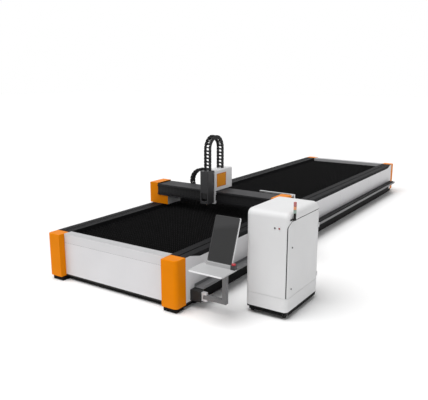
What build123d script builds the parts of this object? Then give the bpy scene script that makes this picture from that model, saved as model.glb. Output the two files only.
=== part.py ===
"""Open flat-bed fibre laser cutter: bed, gantry, cutting head, console and supply cabinet.

Frame: +X towards the console and the cabinet, +Y along the bed, +Z up, in millimetres.
The origin is the middle of the bed on the floor, under its centre foot.
"""

import os
from math import cos, pi, radians, sin

from build123d import *

# Driving dimensions of the bed
bed_length = 12650
bed_width = 3200
bed_top = 955
overrun = 40
sheet = 4
touch_gap = 0.3
run_gap = 2

# Base frame, levelling feet and welded frame
plinth_height = 90
plinth_inset = 45
plinth_bar = 120
foot_height = 28
foot_radius = 55
foot_rows = 5
foot_columns = 3
foot_end_inset = 354
frame_wall = 10
rail_seat_drop = 100
end_recess = 135
end_beam_width = 186
cross_beam_count = 8
cross_beam_width = 100
cross_beam_height = 105
corner_post = 120

# Outer covers of the bed
panel_bottom = 120
flank_drop = 83
tab_length = 130
tab_slope = 300
trim_drop = 180
column_width = 326
column_depth = 271
column_wall = 5
column_round = 70
column_edge = 8

# Rail covers, guide rails and racks
strip_width = 326
slot_width = 26
guide_width = 34
guide_height = 30
guide_waist_share = 0.5
rack_width = 30
rack_height = 80
pinion_radius = 40
guide_end_gap = 14

# Cutting slats and what carries them
slat_top = 890
slat_height = 120
slat_thickness = 6
slat_pitch = 118
slat_teeth = 7
tooth_depth = 45
tooth_tip_share = 0.16
slat_end_gap = 12
bearer_width = 60
bearer_height = 30
bearer_count = 5
scrap_floor_height = 300
scrap_floor_sheet = 6

# Lengthways cable chain and its trough
trough_width = 200
trough_height = 60
trough_floor = 340
trough_near_inset = 525
trough_far_inset = 425
skirt_sheet = 5
y_chain_width = 130
y_chain_height = 70
y_chain_bend_radius = 150
y_chain_bend_lead = 637
y_chain_pitch = 100
chain_groove = 14
chain_groove_depth = 9
chain_end_gap = 20

# Gantry
gantry_rest = 3262
gantry_depth = 500
gantry_left_overhang = 70
gantry_right_overhang = 290
foot_width = 535
gantry_foot_height = 208
cap_width = 235
cap_sheet = 5
cap_rise = 25
beam_height = 265
beam_wall = 12
beam_edge = 8
keel_width = 20
keel_length = 150
keel_end = 30
runner_width = 70
runner_length = 110
runner_height = 43
runner_ride = 5
runner_side_gap = 0.5
motor_width = 116
motor_height = 150
motor_pocket = 140
pocket_floor = 28
shaft_radius = 11
shaft_hole_radius = 14
pinion_thickness = 25
pinion_teeth = 20
pinion_tooth_depth = 7
mesh_gap = 1.5
pinion_drop = 22

# Cross rails on the gantry
x_guide_width = 26
x_guide_depth = 28
x_guide_edge = 32
x_rack_width = 30
x_rack_drop = 15
x_pinion_radius = 30
x_pinion_thickness = 24

# Carriage
carriage_left = -20
carriage_width = 295
carriage_standoff = 72
carriage_plate_thickness = 25
carriage_plate_bottom = 1160
carriage_plate_top = 1860
saddle_thickness = 12
saddle_clearance = 12
cover_left = -20
cover_width = 270
cover_overhang = 183
cover_top = 1920
cover_wall = 6
cover_round = 34
inlay_setback = 38
inlay_length = 388
inlay_bottom = 1520
inlay_top = 1830
inlay_sheet = 5
x_runner_length = 70
x_runner_gap = 8
x_motor_width = 90
x_motor_height = 160
x_pinion_x = 115

# Cutting head on its vertical slide
head_left = 35
head_width = 215
head_depth = 237
head_clearance = 5
head_bottom = 1190
head_top = 1925
head_wall = 8
head_round = 14
window_side = 34
window_bottom = 1250
window_top = 1430
z_guide_width = 20
z_guide_depth = 20
z_guide_inset = 34
z_guide_bottom = 1205
z_guide_top = 1650
slide_plate_thickness = 10
slide_plate_standoff = 45
slide_plate_bottom = 1475
slide_plate_top = 1640
z_block_width = 44
z_block_height = 70
z_block_top = 1632
z_screw_radius = 8
z_screw_standoff = 23
z_screw_top = 1530
z_nut_width = 40
z_nut_height = 36
z_nut_top = 1525
z_motor_width = 60
z_motor_depth = 34
laser_body_width = 112
laser_body_bottom = 1300
laser_body_top = 1560
collimator_radius = 36
collimator_height = 150
fibre_plug_radius = 20
fibre_plug_height = 70
cone_top_radius = 42
cone_bottom_radius = 17
cone_height = 96
nozzle_height = 60
nozzle_tip_radius = 5

# Cable chains of the head and of the carriage
z_chain_width = 140
z_chain_height = 90
z_chain_setback = 90
z_chain_span = 510
z_chain_arch_height = 2400
chain_plate = 16
chain_rung = 22
z_chain_pitch = 92
x_chain_width = 120
x_chain_height = 80
x_chain_standoff = 263
x_chain_bend_x = -640
x_chain_bend_z = 1447
x_chain_bend_radius = 303
x_chain_pitch = 92
x_chain_fixed_end = 380
x_chain_moving_end = 130
tray_sheet = 4
tray_lip = 40
tray_inset = 270
tray_bracket_width = 60
tray_bracket_height = 36
tray_bracket_count = 4
tray_bracket_first = -1100
x_chain_lug = 26

# Cable tray arm behind the gantry
arm_length = 885
arm_overhang = 190
arm_standoff = 348
arm_depth = 60
arm_bottom = 1355
arm_height = 30
arm_post_width = 50
arm_strut_width = 60

# Console
bracket_length = 220
bracket_inset = 395
bracket_depth = 120
bracket_bottom = 140
bracket_top = 335
hinge_length = 75
hinge_bottom = 168
hinge_top = 324
hinge_pin_radius = 11
knuckle_radius = 34
arm_tube = 75
arm_tube_bottom = 208
arm_reach = 395
seat_width = 200
seat_length = 370
seat_sheet = 12
desk_offset = 290
desk_width = 670
desk_overhang = 65
desk_depth = 460
desk_ledge = 70
desk_top = 900
desk_sheet = 20
desk_lip = 26
desk_round = 30
screen_inset = 100
screen_width = 480
screen_length = 790
screen_thickness = 45
screen_setback = 40
screen_base_z = 960
screen_tilt = 20
screen_round = 26
screen_bezel = 16
screen_recess = 3
estop_box = 80
estop_box_height = 70
estop_inset = 4
estop_stem_radius = 14
estop_head_radius = 36
estop_head_height = 24
estop_head_round = 12
estop_travel = 6

# Supply cabinet
cabinet_offset = 876
cabinet_width = 791
cabinet_inset = 809
cabinet_length = 1270
cabinet_bottom = 140
cabinet_top = 1850
cabinet_wall = 20
cabinet_edge = 80
cabinet_front_round = 110
cabinet_rear_round = 220
cabinet_base_height = 30
cabinet_base_inset = 4
cabinet_base_bar = 136
cabinet_skirt_drop = 35
cabinet_skirt_sheet = 5
seam_height = 380
seam_width = 8
seam_depth = 5
door_front_stile = 24
door_rear_stile = 62
door_bottom = 386
door_top = 1690
door_gap = 4
door_shadow_gap = 10
door_round = 110
door_hinge_radius = 7
door_hinge_offset = 8
door_hinge_length = 40
door_hinge_leaf = 4
door_hinge_lower = 480
door_hinge_upper = 1400
door_leaf_width = 30
shell_leaf_width = 12
lock_inset = 146
lock_radius = 13
lock_height = 10
lock_stem_radius = 8
lock_stem_length = 29
lock_cam_length = 50
lock_cam_width = 16
lock_cam_sheet = 4
lock_slot_width = 4
lock_upper_z = 1249
lock_lower_z = 529
button_z = 1578
button_offset = 542
button_pitch = 81
button_radius = 15
button_collar_radius = 20
button_collar_height = 6
button_cap_height = 6
button_travel = 4
button_stem_radius = 9
laser_source_height = 520
laser_source_length = 900
laser_source_depth = 440
board_sheet = 8
board_bottom = 780
board_top = 1580
board_margin = 90
drive_count = 4
drive_width = 120
drive_height = 320
drive_depth = 180
drive_pitch = 210
tower_inset = 126
tower_offset = 37
tower_foot_length = 105
tower_foot_sheet = 16
tower_arm_bottom = 1720
tower_arm_height = 25
tower_arm_width = 50
tower_base_radius = 22
tower_base_height = 95
tower_lamp_radius = 25
tower_lamp_height = 55
tower_lamp_count = 3
tower_ring = 4
tower_cap_height = 10

# Cabinet casters
caster_inset = 90
caster_wheel_radius = 45
caster_wheel_width = 34
caster_trail = 26
caster_plate = 84
caster_plate_sheet = 6
caster_king_radius = 20
caster_king_height = 6
caster_bridge = 5
caster_fork_sheet = 6
caster_fork_gap = 3
caster_fork_foot = 14
caster_axle_radius = 7

# Places that follow from the driving dimensions
half_width = bed_width / 2
half_length = bed_length / 2
side_run = bed_length - 2 * column_depth
rail_seat = bed_top - rail_seat_drop
cover_under = bed_top - sheet
panel_top = bed_top - flank_drop
strip_inner = half_width - strip_width
rail_x = half_width - strip_width / 2
end_face = half_length - end_recess
end_inner = end_face - sheet - end_beam_width
foot_pitch = (side_run - 2 * foot_end_inset) / (foot_rows - 1)
trough_near = trough_near_inset - half_length
trough_far = half_length - trough_far_inset
gantry_front = gantry_rest - half_length
gantry_middle = gantry_front + gantry_depth / 2
gantry_back = gantry_front + gantry_depth
gantry_left = -half_width - gantry_left_overhang
gantry_right = half_width + gantry_right_overhang
foot_bottom = bed_top + run_gap
foot_top = foot_bottom + gantry_foot_height
beam_top = foot_top + beam_height
cap_top = beam_top + cap_rise
beam_left = gantry_left + cap_width
beam_right = gantry_right - cap_width
runner_bottom = rail_seat + runner_ride
runner_top = runner_bottom + runner_height
pocket_bottom = foot_bottom + pocket_floor
rack_face = rail_x + pinion_radius
carriage_plate_front = gantry_front - carriage_standoff
carriage_back = carriage_plate_front + carriage_plate_thickness
cover_back = gantry_back + cover_overhang
inlay_front = gantry_front + inlay_setback
inlay_back = inlay_front + inlay_length
saddle_bottom = beam_top + saddle_clearance
head_middle = head_left + head_width / 2
head_back = carriage_plate_front - head_clearance
head_front = head_back - head_depth
slide_plate_back = carriage_plate_front - slide_plate_standoff
z_screw_y = carriage_plate_front - z_screw_standoff
z_chain_front_y = head_back - z_chain_setback
z_chain_rear_y = z_chain_front_y + z_chain_span
nozzle_y = (head_front + head_wall + slide_plate_back - slide_plate_thickness) / 2
cone_bottom = laser_body_bottom - cone_height
lower_run_z = trough_floor + sheet + touch_gap + y_chain_height / 2
y_bend_z = lower_run_z + y_chain_bend_radius
upper_run_z = y_bend_z + y_chain_bend_radius
y_chain_x = half_width + trough_width / 2
y_chain_bend_place = gantry_front - y_chain_bend_lead
x_chain_y = gantry_back + x_chain_standoff
x_lower_z = x_chain_bend_z - x_chain_bend_radius
x_upper_z = x_chain_bend_z + x_chain_bend_radius
z_arch_radius = (z_chain_rear_y - z_chain_front_y) / 2
z_arch_y = (z_chain_rear_y + z_chain_front_y) / 2
tray_left = gantry_left + tray_inset
arm_right = half_width + arm_overhang
arm_left = arm_right - arm_length
arm_front = gantry_back + arm_standoff
bracket_front = bracket_inset - half_length
hinge_x = half_width + bracket_length + hinge_length
hinge_y = bracket_front + bracket_depth / 2
desk_left = half_width + desk_offset
desk_right = desk_left + desk_width
desk_front = -half_length - desk_overhang
desk_back = desk_front + desk_depth
screen_left = desk_left + screen_inset
screen_base_y = desk_back - screen_setback
desk_under = desk_top - desk_sheet
cabinet_left = half_width + cabinet_offset
cabinet_right = cabinet_left + cabinet_width
cabinet_front = cabinet_inset - half_length
cabinet_back = cabinet_front + cabinet_length
cabinet_middle_x = (cabinet_left + cabinet_right) / 2
cabinet_middle_y = (cabinet_front + cabinet_back) / 2
caster_top = cabinet_bottom - cabinet_base_height
door_front = cabinet_front + door_front_stile
door_back = cabinet_back - door_rear_stile
door_axis_x = cabinet_right + door_hinge_offset
lock_y = cabinet_front + lock_inset
button_a_x = cabinet_left + button_offset
button_b_x = button_a_x + button_pitch
tower_x = cabinet_right + tower_offset
tower_y = cabinet_front + tower_inset
sides = {"left": -1, "right": 1}

os.makedirs("parts", exist_ok=True)


def block(low, high, mode=Mode.ADD):
    """Box between two corners, inside the part that is being built."""
    size = [b - a for a, b in zip(low, high)]
    with Locations(tuple((a + b) / 2 for a, b in zip(low, high))):
        Box(*size, mode=mode)


def save(builder, label):
    """Label a finished piece and write it under its own name."""
    builder.part.label = label
    export_step(builder.part, f"parts/{label}.step")


# Welded frame: two side beams, two end beams, cross beams and four corner posts
with BuildPart() as bed_frame:
    for side in sides.values():
        beam_x = side * (strip_inner + half_width - sheet) / 2
        beam_width = strip_width - sheet
        with BuildSketch(Plane.XZ.offset(-side_run / 2)):
            with Locations((beam_x, (plinth_height + rail_seat) / 2)):
                Rectangle(beam_width, rail_seat - plinth_height)
                Rectangle(beam_width - 2 * frame_wall, rail_seat - plinth_height - 2 * frame_wall,
                          mode=Mode.SUBTRACT)
        extrude(amount=side_run)
    with BuildSketch(Plane.YZ.offset(touch_gap - strip_inner)):
        with Locations(*[(end * (end_inner + end_beam_width / 2), (plinth_height + rail_seat) / 2)
                         for end in (-1, 1)]):
            Rectangle(end_beam_width, rail_seat - plinth_height)
            Rectangle(end_beam_width - 2 * frame_wall, rail_seat - plinth_height - 2 * frame_wall,
                      mode=Mode.SUBTRACT)
    extrude(amount=2 * (strip_inner - touch_gap))
    cross_top = slat_top - slat_height - bearer_height
    cross_pitch = 2 * end_inner / cross_beam_count
    with BuildSketch(Plane.YZ.offset(touch_gap - strip_inner)):
        with Locations((0, cross_top - cross_beam_height / 2)):
            with GridLocations(cross_pitch, 0, cross_beam_count, 1):
                Rectangle(cross_beam_width, cross_beam_height)
                Rectangle(cross_beam_width - 2 * frame_wall, cross_beam_height - 2 * frame_wall,
                          mode=Mode.SUBTRACT)
        with Locations((0, scrap_floor_height - cross_beam_height / 2)):
            with GridLocations(cross_pitch, 0, cross_beam_count, 1):
                Rectangle(cross_beam_width, cross_beam_height)
                Rectangle(cross_beam_width - 2 * frame_wall, cross_beam_height - 2 * frame_wall,
                          mode=Mode.SUBTRACT)
    extrude(amount=2 * (strip_inner - touch_gap))
    post_grid_x = bed_width - column_width
    post_grid_y = bed_length - column_depth
    with BuildSketch(Plane.XY.offset(plinth_height)):
        with GridLocations(post_grid_x, post_grid_y, 2, 2):
            Rectangle(corner_post, corner_post)
            Rectangle(corner_post - 2 * frame_wall, corner_post - 2 * frame_wall, mode=Mode.SUBTRACT)
    extrude(amount=bed_top - column_wall - plinth_height)
save(bed_frame, "bed_frame")

# Black base: bars under the frame, corner blocks, levelling feet and a skirt below the chain trough
with BuildPart() as base_frame:
    side_bar_x = half_width - plinth_inset - plinth_bar / 2
    end_bar_y = end_face - plinth_inset - plinth_bar / 2
    corner_x = half_width - plinth_inset - (column_width - plinth_inset) / 2
    corner_y = half_length - plinth_inset - (column_depth - plinth_inset) / 2
    with BuildSketch(Plane.XY.offset(foot_height)):
        with GridLocations(2 * side_bar_x, 0, 2, 1):
            Rectangle(plinth_bar, side_run - 2 * touch_gap)
        with GridLocations(0, 2 * end_bar_y, 1, 2):
            Rectangle(2 * (strip_inner - touch_gap), plinth_bar)
        with GridLocations(0, foot_pitch, 1, foot_rows):
            Rectangle(2 * (side_bar_x - touch_gap) - plinth_bar, plinth_bar)
    extrude(amount=plinth_height - foot_height)
    with BuildSketch():
        with GridLocations(2 * corner_x, 2 * corner_y, 2, 2):
            RectangleRounded(column_width - plinth_inset, column_depth - plinth_inset, column_edge)
    extrude(amount=plinth_height)
    with BuildSketch():
        with GridLocations(side_bar_x, foot_pitch, foot_columns, foot_rows):
            Circle(foot_radius)
    extrude(amount=foot_height)
    block((half_width, trough_near, foot_height), (half_width + skirt_sheet, trough_far, trough_floor))
save(base_frame, "base_frame")

# White sheet panels on the long sides, with raised tabs at the columns, and on the ends
with BuildPart() as bed_panels:
    run = side_run / 2
    with BuildSketch(Plane.YZ.offset(half_width - sheet)):
        with BuildLine():
            Polyline(
                (0, panel_bottom), (run, panel_bottom), (run, cover_under), (run - tab_length, cover_under),
                (run - tab_length - tab_slope, panel_top), (0, panel_top), close=True)
        make_face()
        mirror(about=Plane.YZ)
    extrude(amount=sheet)
    mirror(about=Plane.YZ)
    end_panel_top = bed_top - trim_drop
    for end in (-1, 1):
        skin = sorted((end * end_face, end * (end_face - sheet)))
        block((-half_width + column_width, skin[0], panel_bottom),
              (half_width - column_width, skin[1], end_panel_top))
save(bed_panels, "bed_panels")

# Folded grey trims that close the two ends of the bed along the top
with BuildPart() as end_trims:
    trim_reach = half_width - column_width
    for end in (-1, 1):
        with BuildSketch(Plane.YZ.offset(-trim_reach)):
            with BuildLine():
                Polyline(
                    (end * end_face, bed_top - trim_drop), (end * end_face, bed_top),
                    (end * end_inner, bed_top), (end * end_inner, rail_seat),
                    (end * (end_inner + sheet), rail_seat), (end * (end_inner + sheet), cover_under),
                    (end * (end_face - sheet), cover_under), (end * (end_face - sheet), bed_top - trim_drop),
                    close=True)
            make_face()
        extrude(amount=2 * trim_reach)
save(end_trims, "end_trims")

# Orange corner columns: deep-drawn shells with one large rounded corner, open underneath
with BuildPart() as corner_covers:
    with BuildSketch(Plane.XY.offset(plinth_height)):
        with Locations((half_width - column_width / 2, -half_length + column_depth / 2)):
            Rectangle(column_width, column_depth)
        fillet(vertices().group_by(Axis.X)[-1].sort_by(Axis.Y)[0], column_round)
    extrude(amount=bed_top - plinth_height)
    chamfer(faces().sort_by(Axis.Z)[-1].edges(), column_edge)
    offset(amount=-column_wall, openings=faces().sort_by(Axis.Z)[0])
    mirror(about=Plane.YZ)
    mirror(about=Plane.XZ)
save(corner_covers, "corner_covers")

# Dark rail covers: an outer angle with a slanted-end flank and an inner angle, with a slot between
with BuildPart() as rail_covers:
    slot_outer = rail_x + slot_width / 2
    slot_inner = rail_x - slot_width / 2
    run = side_run / 2
    block((slot_outer, -run, cover_under), (half_width, run, bed_top))
    with BuildSketch(Plane.YZ.offset(half_width - sheet)):
        with BuildLine():
            Polyline(
                (0, panel_top), (run - tab_length - tab_slope, panel_top), (run - tab_length, cover_under),
                (0, cover_under), close=True)
        make_face()
        mirror(about=Plane.YZ)
    extrude(amount=sheet)
    block((strip_inner, -run, cover_under), (slot_inner, run, bed_top))
    block((strip_inner, -run, rail_seat), (strip_inner + sheet, run, cover_under))
    mirror(about=Plane.YZ)
save(rail_covers, "rail_covers")

# Profiled guide rails and drive racks on top of the side beams
with BuildPart() as y_rails:
    rail_run = side_run / 2 - guide_end_gap
    waist = guide_width * guide_waist_share
    with BuildSketch(Plane.XZ.offset(-rail_run)):
        with BuildLine():
            Polyline(
                (rail_x - guide_width / 2, rail_seat), (rail_x + guide_width / 2, rail_seat),
                (rail_x + waist / 2, rail_seat + guide_height / 2),
                (rail_x + guide_width / 2, rail_seat + guide_height),
                (rail_x - guide_width / 2, rail_seat + guide_height),
                (rail_x - waist / 2, rail_seat + guide_height / 2), close=True)
        make_face()
        with Locations((rack_face + rack_width / 2, rail_seat + rack_height / 2)):
            Rectangle(rack_width, rack_height)
    extrude(amount=2 * rail_run)
    mirror(about=Plane.YZ)
save(y_rails, "y_rails")

# Serrated support slats across the bed
with BuildPart() as cutting_slats:
    slat_reach = strip_inner - slat_end_gap
    slat_bottom = slat_top - slat_height
    tooth = 2 * slat_reach / slat_teeth
    tip = tooth * tooth_tip_share
    outline = [(-slat_reach, slat_bottom), (slat_reach, slat_bottom)]
    for k in reversed(range(slat_teeth)):
        left = -slat_reach + k * tooth
        outline += [(left + tooth, slat_top - tooth_depth), (left + tooth / 2 + tip / 2, slat_top),
                    (left + tooth / 2 - tip / 2, slat_top)]
    outline.append((-slat_reach, slat_top - tooth_depth))
    slat_count = int(2 * (end_inner - slat_pitch / 2) / slat_pitch)
    slat_places = [(k - (slat_count - 1) / 2) * slat_pitch for k in range(slat_count)]
    with BuildSketch(*[Plane.XZ.offset(-y) for y in slat_places]):
        with BuildLine():
            Polyline(*outline, close=True)
        make_face()
    extrude(amount=slat_thickness / 2, both=True)
save(cutting_slats, "cutting_slats")

# Bearer bars under the slats and the scrap floor below them
with BuildPart() as slat_bearers:
    bearer_top = slat_top - slat_height
    bearer_span = 2 * strip_inner - bearer_width
    with BuildSketch(Plane.XY.offset(bearer_top - bearer_height)):
        with GridLocations(bearer_span / (bearer_count - 1), 0, bearer_count, 1):
            Rectangle(bearer_width, 2 * end_inner)
    extrude(amount=bearer_height)
    with BuildSketch(Plane.XY.offset(scrap_floor_height)):
        Rectangle(2 * strip_inner, 2 * end_inner)
    extrude(amount=scrap_floor_sheet)
save(slat_bearers, "slat_bearers")

# Cable chain trough along the right side: floor, back wall and outer wall
with BuildPart() as chain_trough:
    trough_outer = half_width + trough_width
    block((half_width, trough_near, trough_floor), (trough_outer, trough_far, trough_floor + sheet))
    block((half_width, trough_near, trough_floor + sheet),
          (half_width + sheet, trough_far, trough_floor + trough_height))
    block((trough_outer - sheet, trough_near, trough_floor + sheet),
          (trough_outer, trough_far, trough_floor + trough_height))
save(chain_trough, "chain_trough")


def closed_chain_run(near, far, middle_z):
    """One straight run of the closed lengthways chain: a bar with a groove between its links."""
    run_low = middle_z - y_chain_height / 2
    run_high = middle_z + y_chain_height / 2
    half_chain = y_chain_width / 2
    count = int((far - near) / y_chain_pitch)
    block((y_chain_x - half_chain, near, run_low), (y_chain_x + half_chain, far, run_high))
    with Locations((y_chain_x, (near + far) / 2, run_high)):
        with GridLocations(0, y_chain_pitch, 1, count):
            Box(y_chain_width, chain_groove, 2 * chain_groove_depth, mode=Mode.SUBTRACT)


with BuildPart() as y_chain_lower:
    closed_chain_run(y_chain_bend_place, trough_far - chain_end_gap, lower_run_z)
save(y_chain_lower, "y_chain_lower")

# Turn of the lengthways chain, which follows the gantry at half its speed
with BuildPart() as y_chain_bend:
    with BuildSketch(Plane.YZ.offset(y_chain_x - y_chain_width / 2)):
        with Locations((y_chain_bend_place, y_bend_z)):
            Circle(y_chain_bend_radius + y_chain_height / 2)
            Circle(y_chain_bend_radius - y_chain_height / 2, mode=Mode.SUBTRACT)
        with Locations((y_chain_bend_place, y_bend_z)):
            Rectangle(bed_width, bed_width, align=(Align.MIN, Align.CENTER), mode=Mode.SUBTRACT)
    extrude(amount=y_chain_width)
save(y_chain_bend, "y_chain_bend")

with BuildPart() as y_chain_upper:
    closed_chain_run(y_chain_bend_place, arm_front + arm_depth, upper_run_z)
save(y_chain_upper, "y_chain_upper")

# Gantry beam: rectangular tube that rests on the two feet
with BuildPart() as gantry_beam:
    with BuildSketch(Plane.YZ.offset(beam_left)):
        with Locations((gantry_middle, foot_top + beam_height / 2)):
            RectangleRounded(gantry_depth, beam_height, beam_edge)
            RectangleRounded(gantry_depth - 2 * beam_wall, beam_height - 2 * beam_wall, beam_edge,
                             mode=Mode.SUBTRACT)
    extrude(amount=beam_right - beam_left)
save(gantry_beam, "gantry_beam")

# Gantry feet: pocketed blocks with keels that reach through the slots to the runners
with BuildPart() as gantry_feet:
    for side, outer in ((-1, gantry_left), (1, gantry_right)):
        ends = sorted((outer, outer - side * foot_width))
        block((ends[0], gantry_front, foot_bottom), (ends[1], gantry_back, foot_top))
        with Locations((side * rail_x, gantry_middle, pocket_bottom)):
            Box(motor_pocket, motor_pocket, motor_height + run_gap, mode=Mode.SUBTRACT,
                align=(Align.CENTER, Align.CENTER, Align.MIN))
        with Locations((side * rail_x, gantry_middle, foot_bottom)):
            Cylinder(shaft_hole_radius, pocket_floor, mode=Mode.SUBTRACT,
                     align=(Align.CENTER, Align.CENTER, Align.MIN))
        for end in (-1, 1):
            keel_y = gantry_middle + end * (gantry_depth / 2 - keel_end - keel_length / 2)
            block((side * rail_x - keel_width / 2, keel_y - keel_length / 2, runner_top),
                  (side * rail_x + keel_width / 2, keel_y + keel_length / 2, foot_bottom - touch_gap))
save(gantry_feet, "gantry_feet")

# Orange end covers of the gantry: L-shaped sheet housings over the feet and the beam ends
with BuildPart() as gantry_caps:
    for side, outer in ((-1, gantry_left), (1, gantry_right)):
        skin = outer + side * cap_sheet
        shoulder = outer - side * cap_width
        toe = outer - side * foot_width
        with BuildSketch(Plane.XZ.offset(-(gantry_back + cap_sheet))):
            with BuildLine():
                Polyline(
                    (skin, foot_bottom), (toe, foot_bottom), (toe, foot_top), (shoulder, foot_top),
                    (shoulder, cap_top), (skin, cap_top), close=True)
            make_face()
        extrude(amount=gantry_depth + 2 * cap_sheet)
        inner = sorted((outer, toe - side * overrun))
        block((inner[0], gantry_front, foot_bottom - overrun),
              (inner[1], gantry_back, cap_top - cap_sheet), mode=Mode.SUBTRACT)
save(gantry_caps, "gantry_caps")

# Runner blocks that carry the gantry on the guide rails
with BuildPart() as y_runners:
    runner_grid = gantry_depth - 2 * keel_end - keel_length
    with Locations((0, gantry_middle, runner_bottom)):
        with GridLocations(2 * rail_x, runner_grid, 2, 2):
            Box(runner_width, runner_length, runner_height, align=(Align.CENTER, Align.CENTER, Align.MIN))
            Box(guide_width + 2 * runner_side_gap, runner_length,
                guide_height - runner_ride + runner_side_gap,
                align=(Align.CENTER, Align.CENTER, Align.MIN), mode=Mode.SUBTRACT)
save(y_runners, "y_runners")

# Lengthways drive motors inside the feet
with BuildPart() as y_motors:
    with Locations((0, gantry_middle, pocket_bottom)):
        with GridLocations(2 * rail_x, 0, 2, 1):
            Box(motor_width, motor_width, motor_height, align=(Align.CENTER, Align.CENTER, Align.MIN))
    fillet(edges().filter_by(Axis.Z), beam_edge)
save(y_motors, "y_motors")


def gear_blank(radius, depth, teeth):
    """Toothed disc outline in the current sketch."""
    Circle(radius - depth)
    with PolarLocations(radius - depth, teeth):
        Rectangle(2 * depth, pi * (radius - depth) / teeth)


# Drive pinions on their motor shafts, beside the racks
for side_name, side in sides.items():
    with BuildPart() as y_pinion:
        with BuildSketch(Plane((side * rail_x, gantry_middle, cover_under - pinion_drop))):
            gear_blank(pinion_radius - mesh_gap, pinion_tooth_depth, pinion_teeth)
        extrude(amount=-pinion_thickness)
        with Locations((side * rail_x, gantry_middle, pocket_bottom)):
            Cylinder(shaft_radius, pocket_bottom - cover_under + pinion_drop,
                     align=(Align.CENTER, Align.CENTER, Align.MAX))
    save(y_pinion, f"y_pinion_{side_name}")

# Cross rails on the front of the beam and the cross rack on its back
with BuildPart() as x_guides:
    for guide_z in (foot_top + x_guide_edge, beam_top - x_guide_edge):
        block((beam_left + run_gap, gantry_front - x_guide_depth, guide_z - x_guide_width / 2),
              (beam_right - run_gap, gantry_front, guide_z + x_guide_width / 2))
    x_rack_high = beam_top - x_rack_drop
    block((beam_left + run_gap, gantry_back, x_rack_high - x_rack_width),
          (beam_right - run_gap, gantry_back + x_rack_width, x_rack_high))
save(x_guides, "x_guides")


def ladder_run(length, width, height, pitch):
    """Open chain run along local X: two link plates joined by rungs, centred on the place."""
    count = int(length / pitch)
    Box(length, width, height)
    window = (length / count - chain_rung)
    with GridLocations(length / count, 0, count, 1):
        Box(window, width - 2 * chain_plate, height + overrun, mode=Mode.SUBTRACT)


# Cross chain: lower run on its tray, moving turn and upper run to the carriage
with BuildPart() as x_chain_lower:
    lower_length = x_chain_fixed_end - x_chain_bend_x
    with Locations(((x_chain_fixed_end + x_chain_bend_x) / 2, x_chain_y, x_lower_z)):
        ladder_run(lower_length, x_chain_width, x_chain_height, x_chain_pitch)
save(x_chain_lower, "x_chain_lower")

with BuildPart() as x_chain_upper:
    upper_length = x_chain_moving_end - x_chain_bend_x
    with Locations(((x_chain_moving_end + x_chain_bend_x) / 2, x_chain_y, x_upper_z)):
        ladder_run(upper_length, x_chain_width, x_chain_height, x_chain_pitch)
save(x_chain_upper, "x_chain_upper")


def ladder_turn(plane, radius, width, height, pitch):
    """Half turn of an open chain about the plane's origin, on the side of its negative x."""
    rungs = round(pi * radius / pitch)
    reach = radius + 2 * height
    with BuildSketch(plane.offset(-width / 2)) as ring:
        Circle(radius + height / 2)
        Circle(radius - height / 2, mode=Mode.SUBTRACT)
        Rectangle(2 * reach, 2 * reach, align=(Align.MIN, Align.CENTER), mode=Mode.SUBTRACT)
    extrude(ring.sketch, amount=width)
    with BuildSketch(plane.offset(-width / 2 + chain_plate)) as windows:
        Circle(radius + height)
        Circle(radius - height, mode=Mode.SUBTRACT)
        Rectangle(2 * reach, 2 * reach, align=(Align.MIN, Align.CENTER), mode=Mode.SUBTRACT)
        with PolarLocations(radius, rungs, start_angle=90 + 90 / rungs, angular_range=180, endpoint=False):
            Rectangle(4 * height, chain_rung, mode=Mode.SUBTRACT)
    extrude(windows.sketch, amount=width - 2 * chain_plate, mode=Mode.SUBTRACT)


with BuildPart() as x_chain_bend:
    ladder_turn(Plane((x_chain_bend_x, x_chain_y, x_chain_bend_z), x_dir=(1, 0, 0), z_dir=(0, -1, 0)),
                x_chain_bend_radius, x_chain_width, x_chain_height, x_chain_pitch)
save(x_chain_bend, "x_chain_bend")

# Sheet tray for the cross chain on brackets behind the beam, and the cable tray arm on the right
with BuildPart() as chain_supports:
    tray_front = x_chain_y - x_chain_width / 2 - run_gap - tray_sheet
    tray_back = x_chain_y + x_chain_width / 2 + run_gap + tray_sheet
    tray_top = x_lower_z - x_chain_height / 2 - touch_gap
    tray_right = x_chain_fixed_end + x_chain_lug
    block((tray_left, tray_front, tray_top - tray_sheet), (tray_right, tray_back, tray_top))
    block((tray_left, tray_front, tray_top), (tray_right, tray_front + tray_sheet, tray_top + tray_lip))
    block((tray_left, tray_back - tray_sheet, tray_top), (tray_right, tray_back, tray_top + tray_lip))
    block((x_chain_fixed_end, tray_front + tray_sheet, tray_top),
          (tray_right, tray_back - tray_sheet, tray_top + x_chain_height))
    bracket_pitch = (tray_right - tray_bracket_first - tray_bracket_width) / (tray_bracket_count - 1)
    for k in range(tray_bracket_count):
        bracket_x = tray_bracket_first + k * bracket_pitch
        block((bracket_x, tray_front, tray_top - tray_sheet - tray_bracket_height),
              (bracket_x + tray_bracket_width, tray_back, tray_top - tray_sheet))
        block((bracket_x, gantry_back, tray_top - tray_sheet - tray_bracket_height),
              (bracket_x + tray_bracket_width, tray_front, foot_top + x_guide_edge))
    block((arm_left, arm_front, arm_bottom), (arm_right, arm_front + arm_depth, arm_bottom + arm_height))
    strut_x = beam_right + arm_strut_width
    block((strut_x, gantry_back + cap_sheet, arm_bottom),
          (strut_x + arm_strut_width, arm_front, arm_bottom + arm_height))
    block((arm_right - arm_post_width, arm_front, upper_run_z + y_chain_height / 2),
          (arm_right, arm_front + arm_depth, arm_bottom))
save(chain_supports, "chain_supports")

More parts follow.
